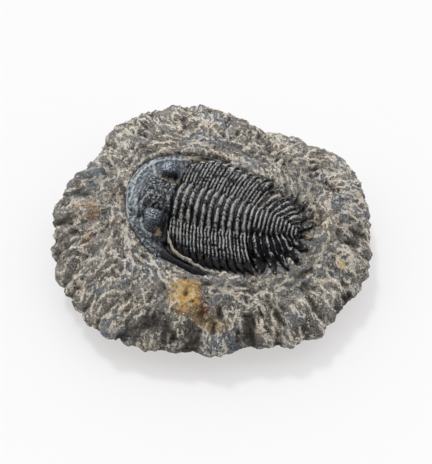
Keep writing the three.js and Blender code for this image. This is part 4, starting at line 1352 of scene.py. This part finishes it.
# ---------------------------------------------------------------------------------------------
# The studio: a near-white table that glows a little, a soft window light from behind on the left, a
# faint wide light overhead, a white room all round, and the camera looking down from in front.
# ---------------------------------------------------------------------------------------------
VIEW_ELEVATION = math.radians(60)
VIEW_DISTANCE = 350 * MM
AIM = Vector((0, 0, 10 * MM))
VIEW_SHIFT = (1.16 * MM, -3.16 * MM)
LENS = 100.6
TABLE_HALF = 3.0
ROOM_GLOW = 1.1
WATCHER_ELEVATION = math.radians(50)
WATCHER_EDGE = math.radians(54)
WATCHER_CORE = math.radians(32)

table_mesh = bpy.data.meshes.new("table")
corners_at = [(-1, -1), (1, -1), (1, 1), (-1, 1)]
table_mesh.from_pydata([(x * TABLE_HALF, y * TABLE_HALF, 0) for x, y in corners_at], [], [(0, 1, 2, 3)])
table = bpy.data.objects.new("table", table_mesh)
bpy.context.scene.collection.objects.link(table)
paper = bpy.data.materials.new("opal light panel")
paper.use_nodes = True
paper.node_tree.nodes.clear()
opal = node(paper.node_tree, "ShaderNodeBsdfPrincipled", {
    "Base Color": linear("#b2b2b4"), "Roughness": 0.9, "Specular IOR Level": 0.1,
    "Emission Color": linear("#fffdfb"), "Emission Strength": 0.51,
})
node(paper.node_tree, "ShaderNodeOutputMaterial", {"Surface": opal})
table_mesh.materials.append(paper)

world = bpy.data.worlds.new("soft room")
world.use_nodes = True
world.node_tree.nodes.clear()
# The room is white all round, but for the dark shape of whoever stands over the stone in front.
looking = node(world.node_tree, "ShaderNodeTexCoord").outputs["Generated"]
watcher = (0.0, -math.cos(WATCHER_ELEVATION), math.sin(WATCHER_ELEVATION))
towards = node(world.node_tree, "ShaderNodeVectorMath", {0: looking, 1: watcher}, operation="DOT_PRODUCT")
glow = node(world.node_tree, "ShaderNodeMapRange", {
    "Value": towards.outputs["Value"], "From Min": math.cos(WATCHER_EDGE),
    "From Max": math.cos(WATCHER_CORE), "To Min": ROOM_GLOW, "To Max": ROOM_GLOW * 0.08,
}, interpolation_type="SMOOTHSTEP")
sky = node(world.node_tree, "ShaderNodeBackground", {"Color": (0.98, 0.985, 1.0, 1), "Strength": glow})
node(world.node_tree, "ShaderNodeOutputWorld", {"Surface": sky})
bpy.context.scene.world = world


def sun(name, azimuth, elevation, strength, softness):
    """A far soft light, from the azimuth (0 behind the camera, 90 from the right) and elevation."""
    lamp = bpy.data.lights.new(name, "SUN")
    lamp.energy = strength
    lamp.angle = math.radians(softness)
    a, e = math.radians(azimuth), math.radians(elevation)
    towards = Vector((math.sin(a) * math.cos(e), -math.cos(a) * math.cos(e), math.sin(e)))
    holder = bpy.data.objects.new(name, lamp)
    holder.rotation_mode = "QUATERNION"
    holder.rotation_quaternion = towards.to_track_quat("Z", "Y")
    bpy.context.scene.collection.objects.link(holder)


sun("window", 205, 55, 1.05, 10)
sun("ceiling", 160, 80, 0.22, 50)

eye_line = Vector((0, math.cos(VIEW_ELEVATION), -math.sin(VIEW_ELEVATION)))
up_line = Vector((0, math.sin(VIEW_ELEVATION), math.cos(VIEW_ELEVATION)))
lens_data = bpy.data.cameras.new("camera")
lens_data.sensor_fit = "HORIZONTAL"
lens_data.sensor_width = 36
lens_data.lens = LENS
camera = bpy.data.objects.new("camera", lens_data)
camera.location = AIM - eye_line * VIEW_DISTANCE + Vector((VIEW_SHIFT[0], 0, 0)) + up_line * VIEW_SHIFT[1]
camera.rotation_mode = "QUATERNION"
camera.rotation_quaternion = (-eye_line).to_track_quat("Z", "Y")
bpy.context.scene.collection.objects.link(camera)
bpy.context.scene.camera = camera
bpy.context.scene.view_settings.view_transform = "Standard"
